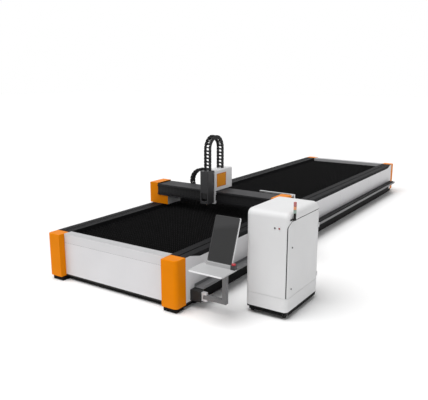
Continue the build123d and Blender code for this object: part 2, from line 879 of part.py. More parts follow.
# Carriage: front plate and saddle over the beam, with the runner blocks of the cross rails
with BuildPart() as carriage_plate:
    carriage_right = carriage_left + carriage_width
    block((carriage_left, carriage_plate_front, carriage_plate_bottom),
          (carriage_right, carriage_back, carriage_plate_top))
    block((cover_left + cover_wall, carriage_back, saddle_bottom),
          (cover_left + cover_width - cover_wall, cover_back - cover_wall, saddle_bottom + saddle_thickness))
    with Locations((x_pinion_x, gantry_back + x_rack_width + x_pinion_radius, saddle_bottom)):
        Cylinder(shaft_hole_radius, saddle_thickness, mode=Mode.SUBTRACT,
                 align=(Align.CENTER, Align.CENTER, Align.MIN))
    fillet(edges().filter_by(Axis.Y).group_by(Axis.Z)[-1], head_round)
    for guide_z in (foot_top + x_guide_edge, beam_top - x_guide_edge):
        for runner_x in (carriage_left, carriage_right - x_runner_length):
            low_y = gantry_front - x_runner_gap
            block((runner_x, carriage_back, guide_z - x_guide_width),
                  (runner_x + x_runner_length, low_y, guide_z + x_guide_width))
            groove = x_guide_width / 2 + runner_side_gap
            block((runner_x, gantry_front - x_guide_depth - runner_side_gap, guide_z - groove),
                  (runner_x + x_runner_length, low_y, guide_z + groove), mode=Mode.SUBTRACT)
    for guide_x in (head_left + z_guide_inset, head_left + head_width - z_guide_inset):
        block((guide_x - z_guide_width / 2, carriage_plate_front - z_guide_depth, z_guide_bottom),
              (guide_x + z_guide_width / 2, carriage_plate_front, z_guide_top))
save(carriage_plate, "carriage_plate")

# White carriage cover: rounded housing open underneath, with a shallow recess for the inlay
with BuildPart() as carriage_cover:
    block((cover_left, carriage_back, saddle_bottom), (cover_left + cover_width, cover_back, cover_top))
    fillet(edges().filter_by(Axis.Y).group_by(Axis.Z)[-1] + edges().filter_by(Axis.X).group_by(Axis.Z)[-1]
           .sort_by(Axis.Y)[-1:], cover_round)
    offset(amount=-cover_wall, openings=[faces().sort_by(Axis.Z)[0], faces().sort_by(Axis.Y)[0]])
    block((cover_left + cover_width - inlay_sheet + run_gap, inlay_front, inlay_bottom),
          (cover_left + cover_width + overrun, inlay_back, inlay_top), mode=Mode.SUBTRACT)
    block((x_chain_moving_end, cover_back, x_upper_z - x_chain_height / 2),
          (x_chain_moving_end + x_chain_lug, x_chain_y + x_chain_width / 2, x_upper_z + x_chain_height / 2))
save(carriage_cover, "carriage_cover")

# Orange inlay plate on the carriage cover, with bevelled edges
with BuildPart() as cover_inlay:
    block((cover_left + cover_width - inlay_sheet + run_gap, inlay_front + touch_gap,
           inlay_bottom + touch_gap),
          (cover_left + cover_width + run_gap, inlay_back - touch_gap, inlay_top - touch_gap))
    chamfer(faces().sort_by(Axis.X)[-1].edges(), run_gap)
save(cover_inlay, "cover_inlay")

# Motors on the carriage: cross drive on the saddle and lift drive on the front plate
with BuildPart() as carriage_motors:
    with Locations((x_pinion_x, gantry_back + x_rack_width + x_pinion_radius,
                    saddle_bottom + saddle_thickness)):
        Box(x_motor_width, x_motor_width, x_motor_height, align=(Align.CENTER, Align.CENTER, Align.MIN))
    block((head_middle - z_motor_width / 2, carriage_plate_front - z_motor_depth, z_screw_top),
          (head_middle + z_motor_width / 2, carriage_plate_front, z_guide_top))
save(carriage_motors, "carriage_motors")

# Cross drive pinion under the saddle
with BuildPart() as x_pinion:
    x_pinion_y = gantry_back + x_rack_width + x_pinion_radius
    with BuildSketch(Plane((x_pinion_x, x_pinion_y, beam_top - x_rack_drop - run_gap))):
        gear_blank(x_pinion_radius - mesh_gap, pinion_tooth_depth, pinion_teeth)
    extrude(amount=-x_pinion_thickness)
    with Locations((x_pinion_x, x_pinion_y, saddle_bottom + saddle_thickness)):
        Cylinder(shaft_radius, saddle_thickness + saddle_clearance + x_rack_drop + run_gap,
                 align=(Align.CENTER, Align.CENTER, Align.MAX))
save(x_pinion, "x_pinion")

# Lift screw below its motor
with BuildPart() as z_screw:
    with Locations((head_middle, z_screw_y, z_guide_bottom)):
        Cylinder(z_screw_radius, z_screw_top - z_guide_bottom, align=(Align.CENTER, Align.CENTER, Align.MIN))
save(z_screw, "z_screw")

# Head housing: dark shell with a window, its slide plate, guide blocks and screw nut
with BuildPart() as head_housing:
    head_right = head_left + head_width
    block((head_left, head_front, head_bottom), (head_right, head_back, head_top))
    fillet(edges().filter_by(Axis.Z).group_by(Axis.Y)[0], head_round)
    block((head_left + head_wall, head_front + head_wall, head_bottom - overrun),
          (head_right - head_wall, head_back + overrun, head_top - head_wall), mode=Mode.SUBTRACT)
    with BuildSketch(Plane.XZ.offset(-head_front)):
        with Locations((head_middle, (window_bottom + window_top) / 2)):
            RectangleRounded(head_width - 2 * window_side, window_top - window_bottom, head_round)
    extrude(amount=-2 * head_wall, mode=Mode.SUBTRACT)
    block((head_left + head_wall, slide_plate_back - slide_plate_thickness, slide_plate_bottom),
          (head_right - head_wall, slide_plate_back, slide_plate_top))
    for guide_x in (head_left + z_guide_inset, head_right - z_guide_inset):
        block((guide_x - z_block_width / 2, slide_plate_back, z_block_top - z_block_height),
              (guide_x + z_block_width / 2, head_back, z_block_top))
        groove = z_guide_width / 2 + runner_side_gap
        block((guide_x - groove, carriage_plate_front - z_guide_depth - runner_side_gap,
               z_block_top - z_block_height),
              (guide_x + groove, head_back + overrun, z_block_top), mode=Mode.SUBTRACT)
    block((head_middle - z_nut_width / 2, slide_plate_back, z_nut_top - z_nut_height),
          (head_middle + z_nut_width / 2, z_screw_y + z_screw_radius + head_wall / 2, z_nut_top))
    with Locations((head_middle, z_screw_y, z_nut_top)):
        Cylinder(z_screw_radius + touch_gap, 2 * z_nut_height, mode=Mode.SUBTRACT)
save(head_housing, "head_housing")

# Laser cutting head: collimator, body and cone on the slide plate
with BuildPart() as cutting_head:
    with Locations((head_middle, nozzle_y, laser_body_bottom)):
        Box(laser_body_width, slide_plate_back - slide_plate_thickness - head_front - head_wall - 2 * run_gap,
            laser_body_top - laser_body_bottom, align=(Align.CENTER, Align.CENTER, Align.MIN))
    block((head_middle - laser_body_width / 2, slide_plate_back - slide_plate_thickness - overrun,
           slide_plate_bottom),
          (head_middle + laser_body_width / 2, slide_plate_back - slide_plate_thickness, laser_body_top))
    with BuildSketch(Plane((head_middle, nozzle_y, laser_body_top))):
        Circle(collimator_radius)
    extrude(amount=collimator_height)
    with BuildSketch(Plane((head_middle, nozzle_y, laser_body_top + collimator_height))):
        Circle(fibre_plug_radius)
    extrude(amount=fibre_plug_height)
    with Locations((head_middle, nozzle_y, laser_body_bottom)):
        Cone(cone_bottom_radius, cone_top_radius, cone_height, align=(Align.CENTER, Align.CENTER, Align.MAX))
save(cutting_head, "cutting_head")

# Copper nozzle
with BuildPart() as nozzle:
    with Locations((head_middle, nozzle_y, cone_bottom)):
        Cone(nozzle_tip_radius, cone_bottom_radius, nozzle_height,
             align=(Align.CENTER, Align.CENTER, Align.MAX))
save(nozzle, "nozzle")

# Lift chain: a leg on the head, a leg on the carriage cover and the arch that joins them
leg_rotation = Plane((head_middle, z_chain_front_y, 0), x_dir=(0, 0, 1), z_dir=(0, 1, 0))
with BuildPart() as z_chain_front:
    front_leg = z_chain_arch_height - head_top
    with Locations(leg_rotation.location * Location((head_top + front_leg / 2, 0, 0))):
        ladder_run(front_leg, z_chain_width, z_chain_height, z_chain_pitch)
save(z_chain_front, "z_chain_front")

with BuildPart() as z_chain_rear:
    rear_leg = z_chain_arch_height - cover_top
    rear_offset = z_chain_rear_y - z_chain_front_y
    with Locations(leg_rotation.offset(rear_offset).location * Location((cover_top + rear_leg / 2, 0, 0))):
        ladder_run(rear_leg, z_chain_width, z_chain_height, z_chain_pitch)
save(z_chain_rear, "z_chain_rear")

with BuildPart() as z_chain_arch:
    ladder_turn(Plane((head_middle, z_arch_y, z_chain_arch_height), x_dir=(0, 0, -1), z_dir=(1, 0, 0)),
                z_arch_radius, z_chain_width, z_chain_height, z_chain_pitch)
save(z_chain_arch, "z_chain_arch")

# Console bracket on the bed, with the hinge fork and its pin
with BuildPart() as console_bracket:
    bracket_end = half_width + bracket_length
    block((half_width, bracket_front, bracket_bottom),
          (bracket_end, bracket_front + bracket_depth, bracket_top))
    knuckle_low = arm_tube_bottom
    knuckle_high = arm_tube_bottom + arm_tube
    with BuildSketch(Plane.XY.offset(hinge_bottom)):
        with BuildLine():
            Polyline((bracket_end, hinge_y - knuckle_radius), (hinge_x, hinge_y - knuckle_radius))
            RadiusArc((hinge_x, hinge_y - knuckle_radius), (hinge_x, hinge_y + knuckle_radius),
                      -knuckle_radius)
            Polyline((hinge_x, hinge_y + knuckle_radius), (bracket_end, hinge_y + knuckle_radius),
                     (bracket_end, hinge_y - knuckle_radius))
        make_face()
    extrude(amount=hinge_top - hinge_bottom)
    block((hinge_x - knuckle_radius - run_gap, hinge_y - bracket_depth, knuckle_low - run_gap),
          (hinge_x + bracket_depth, hinge_y + bracket_depth, knuckle_high + run_gap), mode=Mode.SUBTRACT)
    with Locations((hinge_x, hinge_y, hinge_bottom)):
        Cylinder(hinge_pin_radius, hinge_top - hinge_bottom, align=(Align.CENTER, Align.CENTER, Align.MIN))
save(console_bracket, "console_bracket")

# Console arm: hinge knuckle, square tube, post and the seat plate under the desk
with BuildPart() as console_arm:
    post_x = hinge_x + arm_reach
    with BuildSketch(Plane((hinge_x, hinge_y, arm_tube_bottom))):
        Circle(knuckle_radius)
        Rectangle(arm_reach, arm_tube, align=(Align.MIN, Align.CENTER))
        Circle(hinge_pin_radius + touch_gap, mode=Mode.SUBTRACT)
    extrude(amount=arm_tube)
    with BuildSketch(Plane((post_x, hinge_y, arm_tube_bottom))):
        Rectangle(arm_tube, arm_tube)
    extrude(amount=desk_under - arm_tube_bottom)
    seat_back = hinge_y + arm_tube / 2
    block((post_x - seat_width / 2, seat_back - seat_length, desk_under - seat_sheet),
          (post_x + seat_width / 2, seat_back, desk_under))
save(console_arm, "console_arm")

# Console desk: rounded tray with a front lip, a rear ledge cut to the screen and the stop switch box
lean = radians(screen_tilt)
screen_plane = Plane((screen_left + screen_width / 2, screen_base_y, screen_base_z),
                     x_dir=(1, 0, 0), z_dir=(0, -cos(lean), sin(lean)))
box_x = desk_right - estop_inset - estop_box / 2
box_y = desk_back - estop_box / 2
with BuildPart() as console_desk:
    with BuildSketch(Plane.XY.offset(desk_under)):
        with Locations(((desk_left + desk_right) / 2, (desk_front + desk_back) / 2)):
            RectangleRounded(desk_right - desk_left, desk_back - desk_front, desk_round)
    extrude(amount=desk_sheet)
    block((desk_left + desk_round, desk_front, desk_top - desk_lip),
          (desk_right - desk_round, desk_front + desk_sheet, desk_top))
    block((screen_left, desk_back - desk_ledge, desk_top),
          (screen_left + screen_width, desk_back, screen_base_z))
    with BuildSketch(screen_plane):
        Rectangle(screen_width, screen_length, align=(Align.CENTER, Align.MIN))
    extrude(amount=desk_ledge, both=True, mode=Mode.SUBTRACT)
    with Locations((box_x, box_y, desk_top)):
        Box(estop_box, estop_box, estop_box_height, align=(Align.CENTER, Align.CENTER, Align.MIN))
    with Locations((box_x, box_y, desk_top + estop_box_height)):
        Cylinder(estop_stem_radius + touch_gap, 2 * (2 * estop_travel + estop_head_height),
                 mode=Mode.SUBTRACT)
save(console_desk, "console_desk")

# Stop button: mushroom head on a stem that sinks into the box
with BuildPart() as estop_button:
    head_low = desk_top + estop_box_height + estop_travel
    with Locations((box_x, box_y, head_low)):
        Cylinder(estop_head_radius, estop_head_height, align=(Align.CENTER, Align.CENTER, Align.MIN))
    fillet(edges().group_by(Axis.Z)[-1], estop_head_round)
    with Locations((box_x, box_y, head_low)):
        Cylinder(estop_stem_radius, estop_travel + estop_head_height,
                 align=(Align.CENTER, Align.CENTER, Align.MAX))
save(estop_button, "estop_button")

# Screen: tilted panel with rounded corners and a recessed display, on the desk's ledge
with BuildPart() as console_screen:
    with BuildSketch(screen_plane):
        with Locations((0, screen_length / 2)):
            RectangleRounded(screen_width, screen_length, screen_round)
    extrude(amount=-screen_thickness)
    with BuildSketch(screen_plane):
        with Locations((0, screen_length / 2)):
            RectangleRounded(screen_width - 2 * screen_bezel, screen_length - 2 * screen_bezel,
                             screen_round - screen_bezel / 2)
    extrude(amount=-screen_recess, mode=Mode.SUBTRACT)
save(console_screen, "console_screen")


def cabinet_side(plane, inset):
    """Side view of the cabinet: a box with a rounded front top and a wide round at the rear top."""
    with BuildSketch(plane) as outline:
        with Locations((cabinet_middle_y, (cabinet_bottom + cabinet_top) / 2)):
            Rectangle(cabinet_back - cabinet_front - 2 * inset, cabinet_top - cabinet_bottom - 2 * inset)
        fillet(vertices().group_by(Axis.Y)[-1].sort_by(Axis.X)[-1], cabinet_rear_round - inset)
        fillet(vertices().group_by(Axis.Y)[-1].sort_by(Axis.X)[0], cabinet_front_round - inset)
    return outline.sketch


def door_outline(shadow_gap, gap):
    """Outline of the side door with rounded upper corners, widened by the gaps given."""
    low_y = door_front - shadow_gap
    high_y = door_back + gap
    low_z = door_bottom - gap
    high_z = door_top + shadow_gap
    with BuildSketch(Plane.YZ.offset(cabinet_right - cabinet_edge)) as outline:
        with Locations(((low_y + high_y) / 2, (low_z + high_z) / 2)):
            Rectangle(high_y - low_y, high_z - low_z)
        fillet(vertices().group_by(Axis.Y)[-1], door_round + shadow_gap)
    return outline.sketch


def rounded_box(inset):
    """The cabinet's outer volume, or the space inside its walls, with its upright and top edges rounded."""
    length = cabinet_width - 2 * inset
    extrude(cabinet_side(Plane.YZ.offset(cabinet_left + inset), inset), amount=length)
    rims = faces().sort_by(Axis.X)[0].edges() + faces().sort_by(Axis.X)[-1].edges()
    fillet(rims.filter_by(lambda edge: edge.center().Z > cabinet_bottom + overrun), cabinet_edge - inset)


# Walls of the supply cabinet, from which the shell and the door are both cut
with BuildPart() as cabinet_walls:
    rounded_box(0)
    with BuildPart(mode=Mode.SUBTRACT):
        rounded_box(cabinet_wall)

# Supply cabinet shell: one folded housing, open on its right side where the door goes
with BuildPart() as cabinet_shell:
    add(cabinet_walls.part)
    extrude(door_outline(door_shadow_gap, door_gap), amount=cabinet_edge + overrun, mode=Mode.SUBTRACT)
    block((cabinet_left - overrun, cabinet_front - overrun, seam_height),
          (cabinet_right + overrun, cabinet_front + seam_depth, seam_height + seam_width), mode=Mode.SUBTRACT)
    for hinge_z in (door_hinge_lower, door_hinge_upper):
        with Locations((door_axis_x, door_back, hinge_z)):
            Cylinder(door_hinge_radius, door_hinge_length, align=(Align.CENTER, Align.CENTER, Align.MIN))
        block((cabinet_right - door_hinge_leaf, door_back + door_gap, hinge_z),
              (door_axis_x, door_back + door_gap + shell_leaf_width, hinge_z + door_hinge_length))
    for button_x in (button_a_x, button_b_x):
        with BuildSketch(Plane.XZ.offset(-cabinet_front)):
            with Locations((button_x, button_z)):
                Circle(button_collar_radius)
                Circle(button_radius + touch_gap, mode=Mode.SUBTRACT)
        extrude(amount=button_collar_height)
        with BuildSketch(Plane.XZ.offset(-cabinet_front)):
            with Locations((button_x, button_z)):
                Circle(button_stem_radius + touch_gap)
        extrude(amount=-2 * cabinet_wall, mode=Mode.SUBTRACT)
save(cabinet_shell, "cabinet_shell")

# Black base frame of the cabinet with a skirt along each side and the caster plates under it
caster_grid_x = cabinet_width - 2 * caster_inset
caster_grid_y = cabinet_length - 2 * caster_inset
with BuildPart() as cabinet_base:
    base_x = cabinet_width - 2 * cabinet_base_inset
    base_y = cabinet_length - 2 * cabinet_base_inset
    base_round = cabinet_edge - cabinet_base_inset
    with BuildSketch(Plane.XY.offset(caster_top)):
        with Locations((cabinet_middle_x, cabinet_middle_y)):
            RectangleRounded(base_x, base_y, base_round)
            Rectangle(base_x - 2 * cabinet_base_bar, base_y - 2 * cabinet_base_bar, mode=Mode.SUBTRACT)
    extrude(amount=cabinet_base_height)
    skirt_top = caster_top - touch_gap
    for side in (-1, 1):
        skirt_x = cabinet_middle_x + side * (base_x - cabinet_skirt_sheet) / 2
        skirt_y = cabinet_middle_y + side * (base_y - cabinet_skirt_sheet) / 2
        with Locations((skirt_x, cabinet_middle_y, skirt_top)):
            Box(cabinet_skirt_sheet, base_y - 2 * base_round, cabinet_skirt_drop,
                align=(Align.CENTER, Align.CENTER, Align.MAX))
        with Locations((cabinet_middle_x, skirt_y, skirt_top)):
            Box(base_x - 2 * base_round, cabinet_skirt_sheet, cabinet_skirt_drop,
                align=(Align.CENTER, Align.CENTER, Align.MAX))
    with Locations((cabinet_middle_x, cabinet_middle_y, caster_top)):
        with GridLocations(caster_grid_x, caster_grid_y, 2, 2):
            Box(caster_plate, caster_plate, caster_plate_sheet, align=(Align.CENTER, Align.CENTER, Align.MAX))
save(cabinet_base, "cabinet_base")

# Laser source on the cabinet floor and drives on the board behind it
with BuildPart() as cabinet_internals:
    inner_left = cabinet_left + cabinet_wall
    source_floor = cabinet_bottom + cabinet_wall
    block((inner_left + door_gap, cabinet_middle_y - laser_source_length / 2, source_floor),
          (inner_left + door_gap + laser_source_depth, cabinet_middle_y + laser_source_length / 2,
           source_floor + laser_source_height))
    block((inner_left, cabinet_front + cabinet_wall + board_margin, board_bottom),
          (inner_left + board_sheet, cabinet_back - cabinet_wall - board_margin, board_top))
    with Locations((inner_left + board_sheet, cabinet_middle_y, (board_bottom + board_top) / 2)):
        with GridLocations(0, drive_pitch, 1, drive_count):
            Box(drive_depth, drive_width, drive_height, align=(Align.MIN, Align.CENTER, Align.CENTER))
save(cabinet_internals, "cabinet_internals")

# Side door that wraps round the front corner, on two barrel hinges at its rear edge
with BuildPart() as cabinet_side_door:
    add(cabinet_walls.part)
    extrude(door_outline(0, 0), amount=cabinet_edge + overrun, mode=Mode.INTERSECT)
    for lock_z in (lock_lower_z, lock_upper_z):
        with BuildSketch(Plane.YZ.offset(cabinet_right)):
            with Locations((lock_y, lock_z)):
                Circle(lock_stem_radius + touch_gap)
        extrude(amount=-2 * cabinet_wall, mode=Mode.SUBTRACT)
    for hinge_z in (door_hinge_lower, door_hinge_upper):
        with Locations((door_axis_x, door_back, hinge_z - touch_gap)):
            Cylinder(door_hinge_radius, door_hinge_length, align=(Align.CENTER, Align.CENTER, Align.MAX))
        leaf_top = hinge_z - touch_gap
        block((cabinet_right - door_hinge_leaf, door_back - door_leaf_width, leaf_top - door_hinge_length),
              (door_axis_x, door_back, leaf_top))
save(cabinet_side_door, "cabinet_side_door")

# Two slotted door locks with their cams
for lock_name, lock_z in (("lower", lock_lower_z), ("upper", lock_upper_z)):
    with BuildPart() as door_lock:
        with BuildSketch(Plane.YZ.offset(cabinet_right)):
            with Locations((lock_y, lock_z)):
                Circle(lock_radius)
        extrude(amount=lock_height)
        block((cabinet_right + lock_height / 2, lock_y - lock_slot_width / 2, lock_z - 2 * lock_radius),
              (cabinet_right + 2 * lock_height, lock_y + lock_slot_width / 2, lock_z + 2 * lock_radius),
              mode=Mode.SUBTRACT)
        with BuildSketch(Plane.YZ.offset(cabinet_right)):
            with Locations((lock_y, lock_z)):
                Circle(lock_stem_radius)
        extrude(amount=-lock_stem_length)
        block((cabinet_right - lock_stem_length, lock_y - lock_cam_length, lock_z - lock_cam_width / 2),
              (cabinet_right - lock_stem_length + lock_cam_sheet, lock_y + lock_cam_width / 2,
               lock_z + lock_cam_width / 2))
    save(door_lock, f"door_lock_{lock_name}")

# Two push buttons on the cabinet front
for button_name, button_x in (("a", button_a_x), ("b", button_b_x)):
    with BuildPart() as cabinet_button:
        cap_plane = Plane.XZ.offset(-cabinet_front + button_travel + touch_gap)
        with BuildSketch(cap_plane):
            with Locations((button_x, button_z)):
                Circle(button_radius)
        extrude(amount=button_cap_height)
        with BuildSketch(cap_plane):
            with Locations((button_x, button_z)):
                Circle(button_stem_radius)
        extrude(amount=-cabinet_wall)
    save(cabinet_button, f"cabinet_button_{button_name}")

# Signal tower outside the cabinet's front corner: bracket, base, rings and cap, then three lamps
lamp_floor = tower_arm_bottom + tower_arm_height + tower_base_height
lamp_step = tower_lamp_height + tower_ring
with BuildPart() as tower_stand:
    foot_back = tower_y + tower_arm_width / 2
    block((cabinet_right, foot_back - tower_foot_length, tower_arm_bottom),
          (cabinet_right + tower_foot_sheet, foot_back, tower_arm_bottom + tower_arm_height))
    block((cabinet_right, tower_y - tower_arm_width / 2, tower_arm_bottom),
          (tower_x, tower_y + tower_arm_width / 2, tower_arm_bottom + tower_arm_height))
    with BuildSketch(Plane((tower_x, tower_y, tower_arm_bottom))):
        Circle(tower_lamp_radius)
    extrude(amount=tower_arm_height)
    with BuildSketch(Plane((tower_x, tower_y, tower_arm_bottom + tower_arm_height))):
        Circle(tower_base_radius)
    extrude(amount=tower_base_height)
    ring_floors = [lamp_floor + k * lamp_step - tower_ring for k in range(1, tower_lamp_count)]
    with BuildSketch(*[Plane((tower_x, tower_y, ring_z)) for ring_z in ring_floors]):
        Circle(tower_base_radius)
    extrude(amount=tower_ring)
    with BuildSketch(Plane((tower_x, tower_y, lamp_floor + tower_lamp_count * lamp_step - tower_ring))):
        Circle(tower_lamp_radius)
    extrude(amount=tower_cap_height)
save(tower_stand, "tower_stand")

with BuildPart() as tower_lamps:
    lamp_floors = [lamp_floor + k * lamp_step for k in range(tower_lamp_count)]
    with BuildSketch(*[Plane((tower_x, tower_y, lamp_z)) for lamp_z in lamp_floors]):
        Circle(tower_lamp_radius)
    extrude(amount=tower_lamp_height)
save(tower_lamps, "tower_lamps")

# Swivel casters under the cabinet corners: forks with axles, then wheels
caster_places = {
    "front_left": (-caster_grid_x / 2, -caster_grid_y / 2),
    "front_right": (caster_grid_x / 2, -caster_grid_y / 2),
    "rear_left": (-caster_grid_x / 2, caster_grid_y / 2),
    "rear_right": (caster_grid_x / 2, caster_grid_y / 2)}
for corner, (grid_x, grid_y) in caster_places.items():
    king_x = cabinet_middle_x + grid_x
    king_y = cabinet_middle_y + grid_y
    king_top = caster_top - caster_plate_sheet
    bridge_top = king_top - caster_king_height
    axle_y = king_y + caster_trail
    leg_inner = caster_wheel_width / 2 + caster_fork_gap
    leg_outer = leg_inner + caster_fork_sheet
    with BuildPart() as caster_fork:
        with Locations((king_x, king_y, king_top)):
            Cylinder(caster_king_radius, caster_king_height, align=(Align.CENTER, Align.CENTER, Align.MAX))
        block((king_x - leg_outer, king_y - caster_king_radius, bridge_top - caster_bridge),
              (king_x + leg_outer, king_y + caster_king_radius, bridge_top))
        with BuildSketch(Plane.YZ.offset(king_x - leg_outer), Plane.YZ.offset(king_x + leg_inner)):
            with BuildLine():
                Polyline(
                    (king_y - caster_king_radius, bridge_top), (king_y + caster_king_radius, bridge_top),
                    (axle_y + caster_fork_foot, caster_wheel_radius),
                    (axle_y, caster_wheel_radius - caster_fork_foot),
                    (axle_y - caster_fork_foot, caster_wheel_radius), close=True)
            make_face()
        extrude(amount=caster_fork_sheet)
        with BuildSketch(Plane.YZ.offset(king_x - leg_inner)):
            with Locations((axle_y, caster_wheel_radius)):
                Circle(caster_axle_radius)
        extrude(amount=2 * leg_inner)
    save(caster_fork, f"caster_fork_{corner}")
    with BuildPart() as caster_wheel:
        with BuildSketch(Plane.YZ.offset(king_x - caster_wheel_width / 2)):
            with Locations((axle_y, caster_wheel_radius)):
                Circle(caster_wheel_radius)
                Circle(caster_axle_radius + touch_gap, mode=Mode.SUBTRACT)
        extrude(amount=caster_wheel_width)
    save(caster_wheel, f"caster_wheel_{corner}")
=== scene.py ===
from math import cos, radians, sin

import bpy
import numpy as np
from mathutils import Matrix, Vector


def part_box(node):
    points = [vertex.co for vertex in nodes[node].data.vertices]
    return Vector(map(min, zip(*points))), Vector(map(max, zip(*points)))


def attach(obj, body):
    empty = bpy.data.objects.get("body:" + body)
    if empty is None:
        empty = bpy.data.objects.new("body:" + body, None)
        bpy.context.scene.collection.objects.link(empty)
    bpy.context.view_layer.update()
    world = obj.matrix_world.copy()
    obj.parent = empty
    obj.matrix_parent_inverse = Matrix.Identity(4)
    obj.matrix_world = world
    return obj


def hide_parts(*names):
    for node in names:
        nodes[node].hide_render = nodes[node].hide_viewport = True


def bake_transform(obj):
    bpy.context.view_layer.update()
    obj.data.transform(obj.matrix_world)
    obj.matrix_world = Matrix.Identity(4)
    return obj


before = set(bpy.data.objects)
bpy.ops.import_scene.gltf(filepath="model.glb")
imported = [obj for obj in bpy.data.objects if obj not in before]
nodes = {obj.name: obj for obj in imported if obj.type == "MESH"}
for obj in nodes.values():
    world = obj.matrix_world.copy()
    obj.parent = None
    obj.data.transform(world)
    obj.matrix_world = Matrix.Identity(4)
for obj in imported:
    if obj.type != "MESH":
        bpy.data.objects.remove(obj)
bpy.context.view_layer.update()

# Studio: a wide pale floor and a white surround, under a broad soft light from above
# and a weaker one from the right. The camera stands in front of the console's corner.
scene = bpy.context.scene
scene.view_settings.view_transform = "Standard"


class Sock:
    """A shader socket that takes part in plain arithmetic; each operator adds one Math node."""

    def __init__(self, owner, socket):
        self.owner, self.socket = owner, socket

    def math(self, operation, *terms, clamp=False):
        settings = dict(operation=operation, use_clamp=clamp)
        return self.owner.node("ShaderNodeMath", settings, dict(enumerate(terms)))

    def __add__(self, other): return self.math("ADD", self, other)
    def __radd__(self, other): return self.math("ADD", other, self)
    def __sub__(self, other): return self.math("SUBTRACT", self, other)
    def __rsub__(self, other): return self.math("SUBTRACT", other, self)
    def __mul__(self, other): return self.math("MULTIPLY", self, other)
    def __rmul__(self, other): return self.math("MULTIPLY", other, self)
    def __truediv__(self, other): return self.math("DIVIDE", self, other)
    def __abs__(self): return self.math("ABSOLUTE", self)
    def __gt__(self, other): return self.math("GREATER_THAN", self, other)
    def __lt__(self, other): return self.math("LESS_THAN", self, other)
    def larger(self, other): return self.math("MAXIMUM", self, other)
    def folded(self, step): return self.math("PINGPONG", self, step)
    def root(self): return self.math("SQRT", self)
    def clamped(self): return self.math("ADD", self, 0.0, clamp=True)


class Nodes:
    """A node tree; node() adds any node, sets it up and returns one of its outputs."""

    def __init__(self, tree):
        self.tree = tree

    def put(self, target, value):
        """Link a wrapped socket to the target, or set a constant on the target itself."""
        if isinstance(value, Sock):
            self.tree.links.new(value.socket, target)
        elif target.type == "RGBA":
            target.default_value = (*value, 1.0)
        else:
            target.default_value = value

    def node(self, kind, settings=None, values=None, output=0):
        """Add a node: its settings first, then the values or links of its sockets."""
        made = self.tree.nodes.new(kind)
        for name, value in (settings or {}).items():
            if name == "stops":
                made.color_ramp.interpolation = "CONSTANT"
                ramp = made.color_ramp.elements
                while len(ramp) < len(value):
                    ramp.new(1.0)
                for element, (place, colour) in zip(ramp, value):
                    element.position = place
                    element.color = (*colour, 1.0)
            else:
                setattr(made, name, value)
        for name, value in (values or {}).items():
            self.put(made.inputs[name], value)
        return Sock(self, made.outputs[output])


class Finish(Nodes):
    """A material under construction, with its patterns on Object coordinates."""

    def __init__(self, name, **sockets):
        self.material = bpy.data.materials.new(name)
        self.material.use_nodes = True
        super().__init__(self.material.node_tree)
        self.shader = self.tree.nodes["Principled BSDF"]
        self.set(**sockets)

    def set(self, **sockets):
        """Feed the shader; an underscore stands for each space in a socket's name."""
        for name, value in sockets.items():
            self.put(self.shader.inputs[name.replace("_", " ")], value)

    def place(self, axis=None):
        """Object coordinates, or the one along an axis."""
        vector = self.node("ShaderNodeTexCoord", output="Object")
        if axis is None:
            return vector
        return self.node("ShaderNodeSeparateXYZ", None, {"Vector": vector}, axis)

    def noise(self, scale, detail=3.0, stretch=None):
        """Cloudy noise; a small stretch along an axis draws it out into streaks there."""
        vector = self.place()
        if stretch:
            vector = self.node("ShaderNodeMapping", None, {"Vector": vector, "Scale": stretch})
        values = {"Vector": vector, "Scale": scale, "Detail": detail}
        return self.node("ShaderNodeTexNoise", None, values)

    def mix(self, factor, first, second):
        """Mix of two colours; a Mix node takes them in its sockets 6 and 7 and gives socket 2."""
        values = {0: factor, 6: first, 7: second}
        return self.node("ShaderNodeMix", dict(data_type="RGBA"), values, 2)

    def relief(self, height, strength, distance, normal=None):
        """Bump from a height, laid over another normal where one is given."""
        values = {"Strength": strength, "Distance": distance, "Height": height}
        if normal:
            values["Normal"] = normal
        return self.node("ShaderNodeBump", None, values)


def mesh_piece(name, points, polygons, finish):
    """Flat-shaded object at the origin from an array of points and arrays of polygons."""
    groups = polygons if isinstance(polygons, list) else [polygons]
    faces = [polygon for group in groups for polygon in group.tolist()]
    mesh = bpy.data.meshes.new(name)
    mesh.from_pydata(points.tolist(), [], faces)
    mesh.materials.append(finish.material)
    mesh.update()
    made = bpy.data.objects.new(name, mesh)
    scene.collection.objects.link(made)
    return made


floor_half, floor_drop = 90.0, -0.001
floor_light, floor_shade = (0.93, 0.93, 0.93), (0.90, 0.90, 0.90)
floor_grain, shade_share = (0.4, 2.0), 0.1
floor_finish = Finish("studio_floor", Roughness=0.9, Specular_IOR_Level=0.0)
floor_clouds = floor_finish.noise(*floor_grain) * shade_share
floor_finish.set(Base_Color=floor_finish.mix(floor_clouds, floor_light, floor_shade))
floor_corners = np.array([(-1, -1), (1, -1), (1, 1), (-1, 1)]) * floor_half
floor = mesh_piece("studio_floor", np.c_[floor_corners, np.full(4, floor_drop)],
                   np.array([[0, 1, 2, 3]]), floor_finish)

surround_white, surround_light = (1.0, 1.0, 1.0), 0.27
world = bpy.data.worlds.new("surround")
scene.world = world
world.use_nodes = True
surround = Nodes(world.node_tree)
background = surround.tree.nodes["Background"]
seen_rays = [surround.node("ShaderNodeLightPath", output=f"Is {ray} Ray")
             for ray in ("Camera", "Glossy", "Transmission")]
seen = (seen_rays[0] + seen_rays[1] + seen_rays[2]).clamped()
surround.put(background.inputs["Color"], surround_white)
surround.put(background.inputs["Strength"], seen * (1.0 - surround_light) + surround_light)

